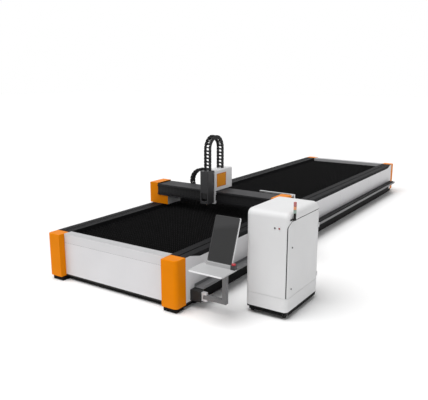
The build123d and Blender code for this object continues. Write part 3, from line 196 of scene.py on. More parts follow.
# Each light's direction from the part, its strength and its spread in degrees.
broad_lights = {
    "overhead_light": ((-0.16, -0.34, 0.93), 2.75, 50.0),
    "side_light": ((0.85, -0.15, 0.45), 0.40, 60.0),
}
for light_name, (toward, strength, spread) in broad_lights.items():
    lamp = bpy.data.lights.new(light_name, "SUN")
    lamp.energy, lamp.angle = strength, radians(spread)
    lamp_object = bpy.data.objects.new(light_name, lamp)
    lamp_object.rotation_euler = Vector(toward).to_track_quat("Z", "Y").to_euler()
    scene.collection.objects.link(lamp_object)

camera_place, camera_dip, camera_heading = (6.951, -13.234, 3.997), 12.778, 33.576
sensor_width, lens_length, sight_end = 36.0, 46.2, 400.0
camera = bpy.data.cameras.new("catalogue_camera")
camera.sensor_width, camera.lens, camera.clip_end = sensor_width, lens_length, sight_end
camera_object = bpy.data.objects.new("catalogue_camera", camera)
camera_object.location = camera_place
camera_object.rotation_euler = (radians(90 - camera_dip), 0.0, radians(camera_heading))
scene.collection.objects.link(camera_object)
scene.camera = camera_object

# Bed structure: welded box beams in dark primer, with the slat bearers and scrap floor inside.
# A black base with levelling feet carries it off the floor.
cloud_grain, cloud_contrast = (2.3, 4.0), 3.0
edge_radius, edge_samples, edge_gain, wear_grain = 0.004, 4, 5.0, (14.0, 4.0)
dust_grain, dust_grey = (9.0, 5.0), (0.42, 0.40, 0.37)
sheen_grain, sheen_range = (6.0, 4.0), 0.12
peel_grain, peel_strength, peel_depth = (420.0, 2.0), 0.25, 0.0006


def dress(finish, *names):
    """Give CAD nodes a finish in place of their plain one."""
    for name in names:
        slots = nodes[name].data.materials
        slots.clear()
        slots.append(finish.material)


def paint_coat(finish, colour, roughness, mottle=0.03, dust=0.0, dust_top=0.3, worn=None):
    """Sprayed coat: cloudy mottling, orange-peel relief, soft edges and dust that fades upwards."""
    cloud = finish.noise(*cloud_grain)
    darker = tuple(c * (1 - mottle) for c in colour)
    lighter = tuple(min(1.0, c * (1 + mottle)) for c in colour)
    patches = (cloud * cloud_contrast - (cloud_contrast - 1) / 2).clamped()
    tone = finish.mix(patches, darker, lighter)
    rounded = finish.node("ShaderNodeBevel", dict(samples=edge_samples), {"Radius": edge_radius})
    if worn:
        flat = finish.node("ShaderNodeNewGeometry", output="Normal")
        facing = finish.node("ShaderNodeVectorMath", dict(operation="DOT_PRODUCT"),
                             {0: rounded, 1: flat}, "Value")
        edge = ((1.0 - facing) * edge_gain).clamped()
        tone = finish.mix(edge * finish.noise(*wear_grain), tone, worn)
    if dust:
        low = (1.0 - finish.place("Z") / dust_top).clamped()
        tone = finish.mix(low * finish.noise(*dust_grain) * dust, tone, dust_grey)
    finish.set(Roughness=finish.noise(*sheen_grain) * sheen_range + (roughness - sheen_range / 2))
    peel = finish.noise(*peel_grain)
    finish.set(Normal=finish.relief(peel, peel_strength, peel_depth, rounded))
    return tone


def paint(name, colour, roughness, gloss=0.5, **coat):
    """A one-colour sprayed finish."""
    made = Finish(name, Specular_IOR_Level=gloss)
    made.set(Base_Color=paint_coat(made, colour, roughness, **coat))
    return made


primer = paint("frame_dark_primer", (0.008, 0.008, 0.009), roughness=0.6, gloss=0.08,
               dust=0.12, dust_top=0.9)
base_black = paint("base_black_paint", (0.003, 0.003, 0.003), roughness=0.6, gloss=0.08,
                   dust=0.02, dust_top=0.09)
dress(primer, "bed_frame", "slat_bearers")
dress(base_black, "base_frame", "cabinet_base")

# Bed covers: light painted sheet panels in five lengths a side, butted with narrow joints,
# and held to the frame by rows of zinc-plated button-head screws.
panel_white, joint_and_shadow_dark = (0.675, 0.670, 0.685), (0.16, 0.16, 0.17)
panel_run, panel_lengths, joint_half = 12.108, 5, 0.0016
trim_foot, end_from = 0.775, 6.18
panel_paint = Finish("panel_light_paint", Specular_IOR_Level=0.4)
panel_tone = paint_coat(panel_paint, panel_white, roughness=0.42, mottle=0.015,
                        dust=0.16, dust_top=0.35)
panel_fold = panel_run / panel_lengths / 2
panel_joint = panel_paint.place("Y").folded(panel_fold) > panel_fold - joint_half
# A thin dark line just under the end trims' lower edge is a painted shadow; the other dark lines
# are the panels' joints.
end_height = abs(panel_paint.place("Z") - trim_foot) < joint_half * 2
trim_shadow_line = end_height * (abs(panel_paint.place("Y")) > end_from)
joints_and_trim_shadow = panel_joint.larger(trim_shadow_line)
panel_paint.set(Base_Color=panel_paint.mix(joints_and_trim_shadow, panel_tone, joint_and_shadow_dark))
dress(panel_paint, "bed_panels")

screw_sides, screw_radius, screw_height = 8, 0.009, 0.0045
screw_rings = np.array([(1.0, 0.0), (0.92, 0.55), (0.62, 0.95), (0.36, 1.0), (0.30, 0.55)])
screw_reach, screw_count, upper_row, lower_row = 5.6, 15, 0.835, 0.165


def button_heads(places, outward):
    """Domed screw heads: shrinking rings carried out along one axis, the last sunk as a socket."""
    turn = np.arange(screw_sides) * 2 * np.pi / screw_sides
    outward = np.asarray(outward, float)
    side = np.roll(np.abs(outward), 1)
    up = np.cross(outward, side)
    circle = np.cos(turn)[:, None] * side + np.sin(turn)[:, None] * up
    one = (screw_rings[:, 0, None, None] * circle * screw_radius
           + screw_rings[:, 1, None, None] * outward * screw_height).reshape(-1, 3)
    ring = np.arange(len(screw_rings) - 1)[:, None] * screw_sides
    step = np.arange(screw_sides)
    after = (step + 1) % screw_sides
    walls = np.stack([ring + step, ring + after, ring + after + screw_sides,
                      ring + step + screw_sides], -1).reshape(-1, 4)
    shift = (np.arange(len(places)) * len(one))[:, None, None]
    points = (places[:, None] + one).reshape(-1, 3)
    caps = (step + len(one) - screw_sides)[None]
    return points, (walls + shift).reshape(-1, 4), (caps + shift).reshape(-1, screw_sides)


streak_detail, streak_share, wear_clouds = 4.0, 0.6, (3.0, 5.0)
streak_sheen, sheen_middle, streak_strength, streak_depth = 0.25, 0.1, 0.15, 0.0005


def metal(name, colour, roughness, scale, stretch, wear=0.25):
    """Bare metal with streaks drawn out along one axis and cloudy wear."""
    made = Finish(name, Metallic=1.0)
    lines = made.noise(scale, streak_detail, stretch)
    dull = tuple(c * (1 - wear) for c in colour)
    patches = lines * streak_share + made.noise(*wear_clouds) * (1 - streak_share)
    made.set(Base_Color=made.mix(patches, dull, colour))
    made.set(Roughness=lines * streak_sheen + (roughness - sheen_middle))
    made.set(Normal=made.relief(lines, streak_strength, streak_depth))
    return made


screw_steel = metal("screw_zinc_plate", (0.62, 0.62, 0.63), roughness=0.35,
                    scale=90.0, stretch=(1.0, 1.0, 1.0))
panel_low, panel_high = (np.array(corner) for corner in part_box("bed_panels"))
screw_run = np.linspace(-screw_reach, screw_reach, screw_count)
screw_rows = {1: (upper_row,), -1: (upper_row, lower_row)}
for side_name, facing in (("right", 1), ("left", -1)):
    face_x = panel_high[0] if facing > 0 else panel_low[0]
    heights = screw_rows[facing]
    screw_places = np.array([(face_x, y, z) for z in heights for y in screw_run])
    screw_points, *screw_faces = button_heads(screw_places, (facing, 0, 0))
    screws = mesh_piece(f"panel_screws_{side_name}", screw_points, screw_faces, screw_steel)
    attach(screws, "machine")

# End trims: folded sheet that closes each end of the bed along the top.
# The top and the inner leg are grey; the outer leg is sprayed with the panel below it.
trim_grey, trim_shade, trim_grain = (0.45, 0.45, 0.46), 0.94, (5.0, 4.0)
trim_top, trim_inner = 0.9535, 6.01
trim_white = tuple(c * trim_shade for c in panel_white)
trim_dull = tuple(c * trim_shade for c in trim_grey)
trim_paint = Finish("trim_two_tone_paint", Specular_IOR_Level=0.4)
trim_tone = paint_coat(trim_paint, trim_white, roughness=0.42, mottle=0.015)
trim_mask = (trim_paint.place("Z") > trim_top).larger(abs(trim_paint.place("Y")) < trim_inner)
trim_cloudy = trim_paint.mix(trim_paint.noise(*trim_grain), trim_dull, trim_grey)
trim_paint.set(Base_Color=trim_paint.mix(trim_mask, trim_tone, trim_cloudy))
dress(trim_paint, "end_trims")

# Corner columns and end caps: deep-drawn steel shells in orange paint, worn at the edges.
# Each column has one wide rounded corner and is fixed over a post of the frame.
orange, worn_orange = (0.755, 0.220, 0.0), (0.80, 0.28, 0.01)
orange_paint = paint("orange_gloss_paint", orange, roughness=0.42, gloss=0.05,
                     dust=0.03, worn=worn_orange)
dress(orange_paint, "corner_covers", "gantry_caps")

# Rail covers: dark folded angles in four lengths a side, with a slot between them.
# They lie over the ground steel rails and the racks that the gantry runs on.
cover_run, cover_lengths = 12.108, 4
cover_dark, cover_worn, gap_dark = (0.013, 0.013, 0.014), (0.05, 0.05, 0.05), (0.002, 0.002, 0.002)
cover_paint = Finish("rail_cover_dark_paint", Specular_IOR_Level=0.03)
cover_tone = paint_coat(cover_paint, cover_dark, roughness=0.55, mottle=0.1, worn=cover_worn)
cover_fold = cover_run / cover_lengths / 2
cover_joint = cover_paint.place("Y").folded(cover_fold) < joint_half
cover_paint.set(Base_Color=cover_paint.mix(cover_joint, cover_tone, gap_dark))
dress(cover_paint, "rail_covers")
rail_steel = metal("rail_ground_steel", (0.62, 0.63, 0.65), roughness=0.32,
                   scale=40.0, stretch=(1.0, 0.03, 1.0))
dress(rail_steel, "y_rails", "y_runners", "y_pinion_left", "y_pinion_right", "x_pinion", "z_screw")

# Cutting slats: thin blades of mild steel set on edge across the bed, blackened by use.
# Each is flame-cut with a row of points so that little metal touches the work.
slat_low, slat_high = (np.array(corner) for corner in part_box("cutting_slats"))
slat_count, blade_points, blade_thickness = 100, 56, 0.006
valley_depth, tip_share = 0.045, 0.14
slat_black, slat_brown, bare_tip = (0.002,) * 3, (0.009, 0.0085, 0.0085), (0.055, 0.055, 0.058)
scale_grain, scale_sheen, scale_base = (30.0, 5.0), 0.3, 0.45
scale_strength, scale_depth = 0.4, 0.001


def serrated_blades():
    """Each blade is a strip: straight lower edge, zigzag upper edge with flat tips, and a rim."""
    step = (slat_high[0] - slat_low[0]) / blade_points
    tooth = np.array([0.0, 0.5 - tip_share / 2, 0.5 + tip_share / 2])
    along = slat_low[0] + (np.arange(blade_points)[:, None] + tooth).ravel() * step
    along = np.append(along, slat_high[0])
    valley = slat_high[2] - valley_depth
    rise = np.append(np.tile([valley, slat_high[2], slat_high[2]], blade_points), valley)
    count = len(along)
    ring = np.zeros((4, count, 3))
    ring[:, :, 0] = along
    ring[:2, :, 1], ring[2:, :, 1] = -blade_thickness / 2, blade_thickness / 2
    ring[0, :, 2] = ring[3, :, 2] = slat_low[2]
    ring[1, :, 2] = ring[2, :, 2] = rise
    one = ring.reshape(-1, 3)
    row = np.arange(count - 1)
    lower = np.arange(4)[:, None] * count
    upper = (np.arange(4)[:, None] + 1) % 4 * count
    strips = np.stack([lower + row, lower + row + 1, upper + row + 1, upper + row], -1)
    ends = np.array([[0, count, 2 * count, 3 * count],
                     [count - 1, 4 * count - 1, 3 * count - 1, 2 * count - 1]])
    polygons = np.concatenate([strips.reshape(-1, 4), ends])
    half = blade_thickness / 2
    places = np.linspace(slat_low[1] + half, slat_high[1] - half, slat_count)
    points = one[None] + np.stack([0 * places, places, 0 * places], 1)[:, None]
    every = polygons[None] + (np.arange(slat_count) * len(one))[:, None, None]
    return points.reshape(-1, 3), every.reshape(-1, 4)


slat_steel = Finish("slat_burnt_steel", Metallic=0.15, Specular_IOR_Level=0.08)
slat_tip = slat_steel.place("Z") - float(slat_high[2] - valley_depth)
slat_tip = (slat_tip / valley_depth).clamped()
slat_scale = slat_steel.noise(*scale_grain)
slat_dark = slat_steel.mix(slat_scale, slat_black, slat_brown)
slat_steel.set(Base_Color=slat_steel.mix(slat_tip * slat_scale, slat_dark, bare_tip))
slat_steel.set(Roughness=slat_scale * scale_sheen + scale_base)
slat_steel.set(Normal=slat_steel.relief(slat_scale, scale_strength, scale_depth))
slats = mesh_piece("serrated_slats", *serrated_blades(), slat_steel)
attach(slats, "machine")
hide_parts("cutting_slats")

# Gantry: a dark welded box beam on two grey feet, driven by geared motors in its end caps.
# A ribbed shield of dark sheet lies between the blackened cross rails on its front.
beam_paint = paint("beam_dark_paint", (0.021, 0.021, 0.023), roughness=0.55, gloss=0.15,
                   mottle=0.08, worn=(0.08, 0.08, 0.08))
foot_grey = paint("foot_grey_paint", (0.70, 0.70, 0.71), roughness=0.45, gloss=0.4,
                  worn=(0.78, 0.78, 0.78))
motor_coat = paint("motor_black_coat", (0.014, 0.014, 0.015), roughness=0.45, gloss=0.4)
guide_black = metal("guide_blackened_steel", (0.030, 0.030, 0.032), roughness=0.45,
                    scale=40.0, stretch=(0.03, 1.0, 1.0))
dress(beam_paint, "gantry_beam")
dress(foot_grey, "gantry_feet")
dress(motor_coat, "y_motors", "carriage_motors")
dress(guide_black, "x_guides")


def slab(front, back):
    """Closed shell between two grids of points of one shape: front, back and a rim."""
    rows, columns = front.shape[:2]
    index = np.arange(rows * columns).reshape(rows, columns)
    quads = np.stack([index[:-1, :-1], index[:-1, 1:], index[1:, 1:], index[1:, :-1]], -1)
    quads = quads.reshape(-1, 4)
    border = np.concatenate([index[0, :-1], index[:-1, -1], index[-1, :0:-1], index[:0:-1, 0]])
    after, far = np.roll(border, -1), rows * columns
    rim = np.stack([after, border, border + far, after + far], 1)
    points = np.concatenate([front.reshape(-1, 3), back.reshape(-1, 3)])
    return points, np.concatenate([quads, quads[:, ::-1] + far, rim])


beam_low, beam_high = (np.array(corner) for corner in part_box("gantry_beam"))
rib_pitch, rib_depth, shield_sheet, shield_end = 0.045, 0.0045, 0.0015, 0.004
shield_bottom, shield_top, rib_steps = 1.214, 1.381, 8


def ribbed_shield():
    """Sheet whose front follows a cosine wave along the beam; its back lies flat on the beam."""
    left, right = beam_low[0] + shield_end, beam_high[0] - shield_end
    across = np.linspace(left, right, int((right - left) / rib_pitch) * rib_steps + 1)
    wave = 0.5 + 0.5 * np.cos(2 * np.pi * across / rib_pitch)
    upright = np.array([shield_bottom, shield_top])
    front = np.zeros((2, len(across), 3))
    front[..., 0], front[..., 2] = across, upright[:, None]
    back = front.copy()
    back[..., 1] = beam_low[1]
    front[..., 1] = beam_low[1] - shield_sheet - rib_depth * wave
    return slab(front, back)


shield_paint = paint("shield_dark_paint", (0.014, 0.014, 0.015), roughness=0.5, gloss=0.2,
                     worn=(0.05, 0.05, 0.05))
shield = mesh_piece("beam_shield", *ribbed_shield(), shield_paint)
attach(shield, "gantry")

# Carriage: a thick plate on the cross rails and a folded sheet cover, both painted white.
# A small orange plate with a darker border is let into the cover.
cover_white = paint("cover_white_paint", (0.79, 0.79, 0.80), roughness=0.4, gloss=0.4, mottle=0.015)
dress(cover_white, "carriage_cover", "carriage_plate")
inlay_low, inlay_high = (np.array(corner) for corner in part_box("cover_inlay"))
inlay_middle, inlay_half = (inlay_low + inlay_high) / 2, (inlay_high - inlay_low) / 2
inlay_orange, border_orange, border_share = (0.86, 0.31, 0.004), (0.66, 0.20, 0.0), 0.86
inlay_paint = Finish("inlay_orange_paint", Specular_IOR_Level=0.12)
inlay_tone = paint_coat(inlay_paint, inlay_orange, roughness=0.42)
inlay_y = abs(inlay_paint.place("Y") - float(inlay_middle[1])) / float(inlay_half[1])
inlay_z = abs(inlay_paint.place("Z") - float(inlay_middle[2])) / float(inlay_half[2])
inlay_border = inlay_y.larger(inlay_z) > border_share
inlay_paint.set(Base_Color=inlay_paint.mix(inlay_border, inlay_tone, border_orange))
dress(inlay_paint, "cover_inlay")

# Cutting head: a dark lift housing with a window, and the optical head behind it.
# The head's upper body is darkened as painted shade behind the window; its lower cone is bright,
# over a copper nozzle.
housing_paint = paint("housing_dark_paint", (0.034, 0.034, 0.036), roughness=0.45, gloss=0.35,
                      worn=(0.12, 0.12, 0.12))
nozzle_copper = metal("nozzle_copper", (0.72, 0.36, 0.20), roughness=0.3,
                      scale=60.0, stretch=(0.1, 0.1, 1.0), wear=0.2)
dress(housing_paint, "head_housing")
dress(nozzle_copper, "nozzle")
shade_from, head_painted_shade = 1.245, (0.014, 0.014, 0.015)
cone_dull, cone_bright = (0.55, 0.56, 0.58), (0.72, 0.73, 0.75)
cone_sheen, cone_base = 0.2, 0.28
head_shade_and_cone = Finish("head_shade_and_cone", Specular_IOR_Level=0.4)
# Painted shade: the head's upper body is dark where it sits in the shade behind the housing's
# window; the lower cone is bright bare metal.
head_upper = head_shade_and_cone.place("Z") > shade_from
head_lines = head_shade_and_cone.noise(scale=60.0, detail=4.0, stretch=(1.0, 1.0, 0.1))
head_bright = head_shade_and_cone.mix(head_lines, cone_dull, cone_bright)
head_shade_and_cone.set(Base_Color=head_shade_and_cone.mix(head_upper, head_bright, head_painted_shade))
head_shade_and_cone.set(Metallic=1.0 - head_upper, Roughness=head_lines * cone_sheen + cone_base)
dress(head_shade_and_cone, "cutting_head")

# Cable chains: moulded black links with two side plates, round pivots and snap-in cross bars.
# Each run is laid straight between its held end and its turn; the turns travel at half speed.
spark_grain, spark_strength, spark_depth = (900.0, 1.0), 0.2, 0.0004
plastic_grain, plastic_dull = (5.0, 3.0), 0.8
lustre_grain, lustre_range, lustre_middle = (30.0, 3.0), 0.15, 0.07


def moulded(name, colour, roughness, gloss=0.4):
    """Moulded plastic: even colour, a little change of sheen and a fine spark-eroded texture."""
    made = Finish(name, Specular_IOR_Level=gloss)
    dull = tuple(c * plastic_dull for c in colour)
    made.set(Base_Color=made.mix(made.noise(*plastic_grain), dull, colour))
    made.set(Roughness=made.noise(*lustre_grain) * lustre_range + (roughness - lustre_middle))
    made.set(Normal=made.relief(made.noise(*spark_grain), spark_strength, spark_depth))
    return made


chain_plastic = moulded("chain_black_plastic", (0.008, 0.008, 0.009), roughness=0.5, gloss=0.2)
cut_share, pivot_share, pivot_rise, joint_gap = 0.15, 0.24, 0.0015, 0.0008
bar_share, bar_inset, turn_slack = 0.16, 0.004, 0.005
across_x, across_y, upper_sections = (1, 0, 0), (0, 1, 0), 3


def boxes(low, high):
    """Corners and faces of many boxes at once, from arrays of their lowest and highest corners."""
    pick = np.array([(i, j, k) for k in (0, 1) for j in (0, 1) for i in (0, 1)])
    points = low[:, None] + (high - low)[:, None] * pick[None]
    faces = np.array([[0, 2, 3, 1], [4, 5, 7, 6], [0, 1, 5, 4],
                      [2, 6, 7, 3], [0, 4, 6, 2], [1, 3, 7, 5]])
    shift = 8 * np.arange(len(low))[:, None, None]
    return points.reshape(-1, 3), (faces[None] + shift).reshape(-1, 4)


def prism(outline, y0, y1):
    """An eight-cornered outline in x and z carried straight across from y0 to y1."""
    count = len(outline)
    x, z = outline.T
    points = np.concatenate([np.c_[x, np.full(count, y), z] for y in (y0, y1)])
    turn = np.arange(count)
    after = (turn + 1) % count
    sides = np.stack([turn, after, after + count, turn + count], 1)[:, ::-1]
    return points, sides, np.stack([turn, turn[::-1] + count])


def chain_link(pitch, width, height, plate, bar):
    """One link about its middle: x along the chain, y across it and z through its thickness.

    Two side plates with cut corners, a pivot boss on each plate at one end and two cross bars."""
    reach, half, cut = pitch / 2 - joint_gap, height / 2, height * cut_share
    outline = np.array([(-reach, -half + cut), (-reach + cut, -half),
                        (reach - cut, -half), (reach, -half + cut),
                        (reach, half - cut), (reach - cut, half),
                        (-reach + cut, half), (-reach, half - cut)])
    angle = (np.arange(8) + 0.5) * np.pi / 4
    boss = np.c_[np.cos(angle), np.sin(angle)] * height * pivot_share + (pitch / 2, 0.0)
    edge = width / 2
    solids = [prism(outline, -edge, -edge + plate),
              prism(outline, edge - plate, edge),
              prism(boss, -edge - pivot_rise, -edge + plate / 2),
              prism(boss, edge - plate / 2, edge + pivot_rise)]
    points, quads, rims, start = [], [], [], 0
    for solid_points, sides, caps in solids:
        points.append(solid_points)
        quads.append(sides + start)
        rims.append(caps + start)
        start += len(solid_points)
    across, thick = edge - plate, height * bar_share
    low = np.array([(-bar / 2, -across, -half + bar_inset),
                    (-bar / 2, -across, half - thick - bar_inset)])
    bar_points, bar_faces = boxes(low, low + np.array([bar, 2 * across, thick]))
    points.append(bar_points)
    quads.append(bar_faces + start)
    return np.concatenate(points), np.concatenate(quads), np.concatenate(rims)


def chain_mesh(name, link, origins, along, across):
    """Copies of a link at many places, each turned so that its x follows the chain's direction."""
    points, quads, rims = link
    sideways = np.tile(np.array(across, float), (len(origins), 1))
    basis = np.stack([along, sideways, np.cross(along, sideways)], 2)
    placed = np.einsum("kij,nj->kni", basis, points) + origins[:, None]
    shift = (np.arange(len(origins)) * len(points))[:, None, None]
    faces = [(quads[None] + shift).reshape(-1, 4),
             (rims[None] + shift).reshape(-1, rims.shape[1])]
    return mesh_piece(name, placed.reshape(-1, 3), faces, chain_plastic)


def straight_chain(name, link, start, end, pitch, across):
    """Links spread evenly between two points."""
    start, end = np.array(start, float), np.array(end, float)
    length = np.linalg.norm(end - start)
    count = max(1, round(length / pitch))
    origins = start + (end - start) * ((np.arange(count) + 0.5) / count)[:, None]
    return chain_mesh(name, link, origins, np.tile((end - start) / length, (count, 1)), across)


def turned_chain(name, link, centre, radius, pitch, across, first, second):
    """Links round half a circle that starts along one direction from its centre, past a second."""
    count = round(np.pi * radius / pitch)
    angle = ((np.arange(count) + 0.5) / count * np.pi)[:, None]
    first, second = np.array(first, float), np.array(second, float)
    origins = np.array(centre) + radius * (np.cos(angle) * first + np.sin(angle) * second)
    return chain_mesh(name, link, origins, np.cos(angle) * second - np.sin(angle) * first, across)


def moving_run(name, link, held_end, turn_end, pitch, across, sections=1):
    """A straight run in sections of whole links, from its held end to its turn.

    Borders between sections lie at the squares of even steps, as a blend of share 3t^2 - 2t^3 is
    most uneven near the held end. For each section it works out where such a blend would start and
    how far it would reach to pass through shares growing evenly from 0 to 1/2 at the section's two
    ends, but it applies no blend."""
    held_end, turn_end = np.array(held_end, float), np.array(turn_end, float)
    whole = turn_end - held_end
    count = round(np.linalg.norm(whole) / pitch)
    borders = np.round((np.arange(sections + 1) / sections) ** 2 * count) / count
    # The t at which 3t^2 - 2t^3 is half of each border.
    reached = 0.5 - np.sin(np.arcsin(1 - borders) / 3)
    spans = np.diff(borders) / np.diff(reached)
    origins = borders[:-1] - reached[:-1] * spans
    run = []
    for k in range(sections):
        section_name = f"{name}_{k + 1}" if sections > 1 else name
        section = straight_chain(section_name, link, held_end + whole * borders[k],
                                 held_end + whole * borders[k + 1], pitch, across)
        held_end + whole * origins[k]
        held_end + whole * (origins[k] + spans[k])
        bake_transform(section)
        run.append(section)
    return run


def stands_for(node, *pieces):
    """Chain pieces hide the CAD node in their place."""
    for piece in pieces:
        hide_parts(node)


def node_box(node):
    """Lowest corner, highest corner and middle of a CAD node, half-way between the two."""
    low, high = (np.array(corner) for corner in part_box(node))
    return low, high, (low + high) / 2


# Lift chain: an arch of links that stands over the head and feeds it as it rises and falls.
# One end is held by the head's housing, the other by the carriage behind it.
front_low, front_high, front_middle = node_box("z_chain_front")
rear_low, _, rear_middle = node_box("z_chain_rear")
lift_x, lift_top, lift_pitch = front_middle[0], front_high[2], 0.084
lift_width, lift_height = front_high[0] - front_low[0], front_high[1] - front_low[1]
lift_plate, lift_bar = 0.017, 0.026
lift_link = chain_link(lift_pitch, lift_width, lift_height, lift_plate, lift_bar)
lift_turn_link = chain_link(lift_pitch, lift_width, lift_height - turn_slack,
                            lift_plate, lift_bar)
lift_front = moving_run("lift_chain_front", lift_link, (lift_x, front_middle[1], front_low[2]),
                        (lift_x, front_middle[1], lift_top), lift_pitch, across_x)
lift_rear = moving_run("lift_chain_rear", lift_link, (lift_x, rear_middle[1], rear_low[2]),
                       (lift_x, rear_middle[1], lift_top), lift_pitch, across_x)
lift_arch = turned_chain("lift_chain_arch", lift_turn_link,
                         (lift_x, (front_middle[1] + rear_middle[1]) / 2, lift_top),
                         (rear_middle[1] - front_middle[1]) / 2, lift_pitch, across_x,
                         (0, -1, 0), (0, 0, 1))
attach(lift_arch, "z_chain_turn")
stands_for("z_chain_front", *lift_front)
stands_for("z_chain_rear", *lift_rear)
stands_for("z_chain_arch", lift_arch)

# Cross chain: links of the same kind lying along the beam, to feed the carriage.
# A lower run rests on its tray, a turn stands on the left and an upper run leads back.
lower_low, lower_high, lower_middle = node_box("x_chain_lower")
_, upper_high, upper_middle = node_box("x_chain_upper")
cross_y, cross_bend, cross_pitch = lower_middle[1], lower_low[0], 0.084
cross_width, cross_height = lower_high[1] - lower_low[1], lower_high[2] - lower_low[2]
cross_plate, cross_bar = 0.016, 0.026
cross_link = chain_link(cross_pitch, cross_width, cross_height, cross_plate, cross_bar)
cross_turn_link = chain_link(cross_pitch, cross_width, cross_height - turn_slack,
                             cross_plate, cross_bar)
cross_lower = moving_run("cross_chain_lower", cross_link,
                         (lower_high[0], cross_y, lower_middle[2]),
                         (cross_bend, cross_y, lower_middle[2]), cross_pitch, across_y)
cross_upper = moving_run("cross_chain_upper", cross_link,
                         (upper_high[0], cross_y, upper_middle[2]),
                         (cross_bend, cross_y, upper_middle[2]), cross_pitch, across_y,
                         upper_sections)
cross_turn = turned_chain("cross_chain_turn", cross_turn_link,
                          (cross_bend, cross_y, (lower_middle[2] + upper_middle[2]) / 2),
                          (upper_middle[2] - lower_middle[2]) / 2, cross_pitch, across_y,
                          (0, 0, -1), (-1, 0, 0))
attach(cross_turn, "x_chain_turn")
stands_for("x_chain_lower", *cross_lower)
stands_for("x_chain_upper", *cross_upper)
stands_for("x_chain_bend", cross_turn)

# Lengthways chain: wide-barred links in a grey painted trough of folded sheet along the bed.
# The upper run ends at an arm of zinc-plated sheet on the gantry.
trough_paint = paint("trough_grey_paint", (0.17, 0.17, 0.175), roughness=0.5, gloss=0.4,
                     worn=(0.30, 0.30, 0.30))
zinc_sheet = metal("zinc_coated_sheet", (0.60, 0.61, 0.62), roughness=0.45,
                   scale=30.0, stretch=(1.0, 0.2, 1.0), wear=0.15)
dress(trough_paint, "chain_trough")
dress(zinc_sheet, "chain_supports")
long_low, long_high, long_middle = node_box("y_chain_lower")
_, over_high, over_middle = node_box("y_chain_upper")
long_x, long_bend, long_pitch = long_middle[0], long_low[1], 0.09
long_width, long_height = long_high[0] - long_low[0], long_high[2] - long_low[2]
long_plate, long_bar, long_turn_bar = 0.016, 0.06, 0.05
long_link = chain_link(long_pitch, long_width, long_height, long_plate, long_bar)
long_turn_link = chain_link(long_pitch, long_width, long_height - 2 * turn_slack,
                            long_plate, long_turn_bar)
long_lower = moving_run("long_chain_lower", long_link, (long_x, long_high[1], long_middle[2]),
                        (long_x, long_bend, long_middle[2]), long_pitch, across_x)
long_upper = moving_run("long_chain_upper", long_link, (long_x, over_high[1], over_middle[2]),
                        (long_x, long_bend, over_middle[2]), long_pitch, across_x,
                        upper_sections)
long_turn = turned_chain("long_chain_turn", long_turn_link,
                         (long_x, long_bend, (long_middle[2] + over_middle[2]) / 2),
                         (over_middle[2] - long_middle[2]) / 2, long_pitch, across_x,
                         (0, 0, -1), (0, -1, 0))
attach(long_turn, "y_chain_turn")
stands_for("y_chain_lower", *long_lower)
stands_for("y_chain_upper", *long_upper)
stands_for("y_chain_bend", long_turn)

# Console arm: a black painted bracket on the bed, with a machined hinge fork of bare steel.
# The arm and the post that turn in it are grey painted square tube.
fork_from, bracket_black, fork_metallic = 1.821, (0.010, 0.010, 0.010), 0.8
fork_dull, fork_light = (0.52, 0.52, 0.53), (0.72, 0.72, 0.73)
bracket_finish = Finish("bracket_and_fork", Specular_IOR_Level=0.4)
bracket_tone = paint_coat(bracket_finish, bracket_black, roughness=0.5)
fork_mask = bracket_finish.place("X") > fork_from
fork_lines = bracket_finish.noise(scale=50.0, detail=4.0, stretch=(1.0, 1.0, 0.1))
fork_bright = bracket_finish.mix(fork_lines, fork_dull, fork_light)
bracket_finish.set(Base_Color=bracket_finish.mix(fork_mask, bracket_tone, fork_bright),
                   Metallic=fork_mask * fork_metallic)
dress(bracket_finish, "console_bracket")
arm_paint = paint("arm_grey_paint", (0.178, 0.178, 0.182), roughness=0.45, gloss=0.4,
                  worn=(0.30, 0.30, 0.30))
dress(arm_paint, "console_arm")

# Console desk: a folded tray of sheet in light grey paint, with a brighter front lip.
# A dark box on its right carries the stop button, a mushroom head of red plastic.
lip_front, box_left, box_from = -6.384, 2.4755, 0.9005
desk_grey, lip_white, box_dark = (0.45, 0.45, 0.455), (0.82, 0.82, 0.83), (0.040, 0.040, 0.043)
desk_paint = Finish("desk_light_paint", Specular_IOR_Level=0.4)
desk_tone = paint_coat(desk_paint, desk_grey, roughness=0.42, mottle=0.02)
desk_lip = desk_paint.place("Y") < lip_front
stop_box = (desk_paint.place("X") > box_left) * (desk_paint.place("Z") > box_from)
desk_tone = desk_paint.mix(desk_lip, desk_tone, lip_white)
desk_paint.set(Base_Color=desk_paint.mix(stop_box, desk_tone, box_dark))
dress(desk_paint, "console_desk")
stop_red = moulded("stop_red_plastic", (0.44, 0.020, 0.032), roughness=0.32)
dress(stop_red, "estop_button")

# Display: a white painted metal case that leans back over the desk, with a dark front frame.
# A plate of dark glass with a rolled edge is let into its recess.
screen_middle, screen_lean = np.array([2.230, -5.970, 0.960]), radians(20)
screen_size, screen_bezel, screen_round, screen_recess = (0.480, 0.790), 0.016, 0.018, 0.003
screen_up = np.array([0.0, sin(screen_lean), cos(screen_lean)])
screen_out = np.array([0.0, -cos(screen_lean), sin(screen_lean)])
glass_steps = np.array([(0.0006, -0.0029), (0.0006, -0.0014),
                        (0.0012, -0.0008), (0.0026, -0.0005)])
glass_corner, face_slack = 9, 0.0005
case_white, frame_dark = (0.78, 0.78, 0.79), (0.030, 0.030, 0.031)
glass_deep, reflection_pale = (0.0145, 0.0145, 0.015), (0.029, 0.029, 0.030)
band_slope, band_from, band_gain = 0.22, 1.0, 12.0
smear_grain, smear_sheen, glass_base = (7.0, 5.0), 0.12, 0.14


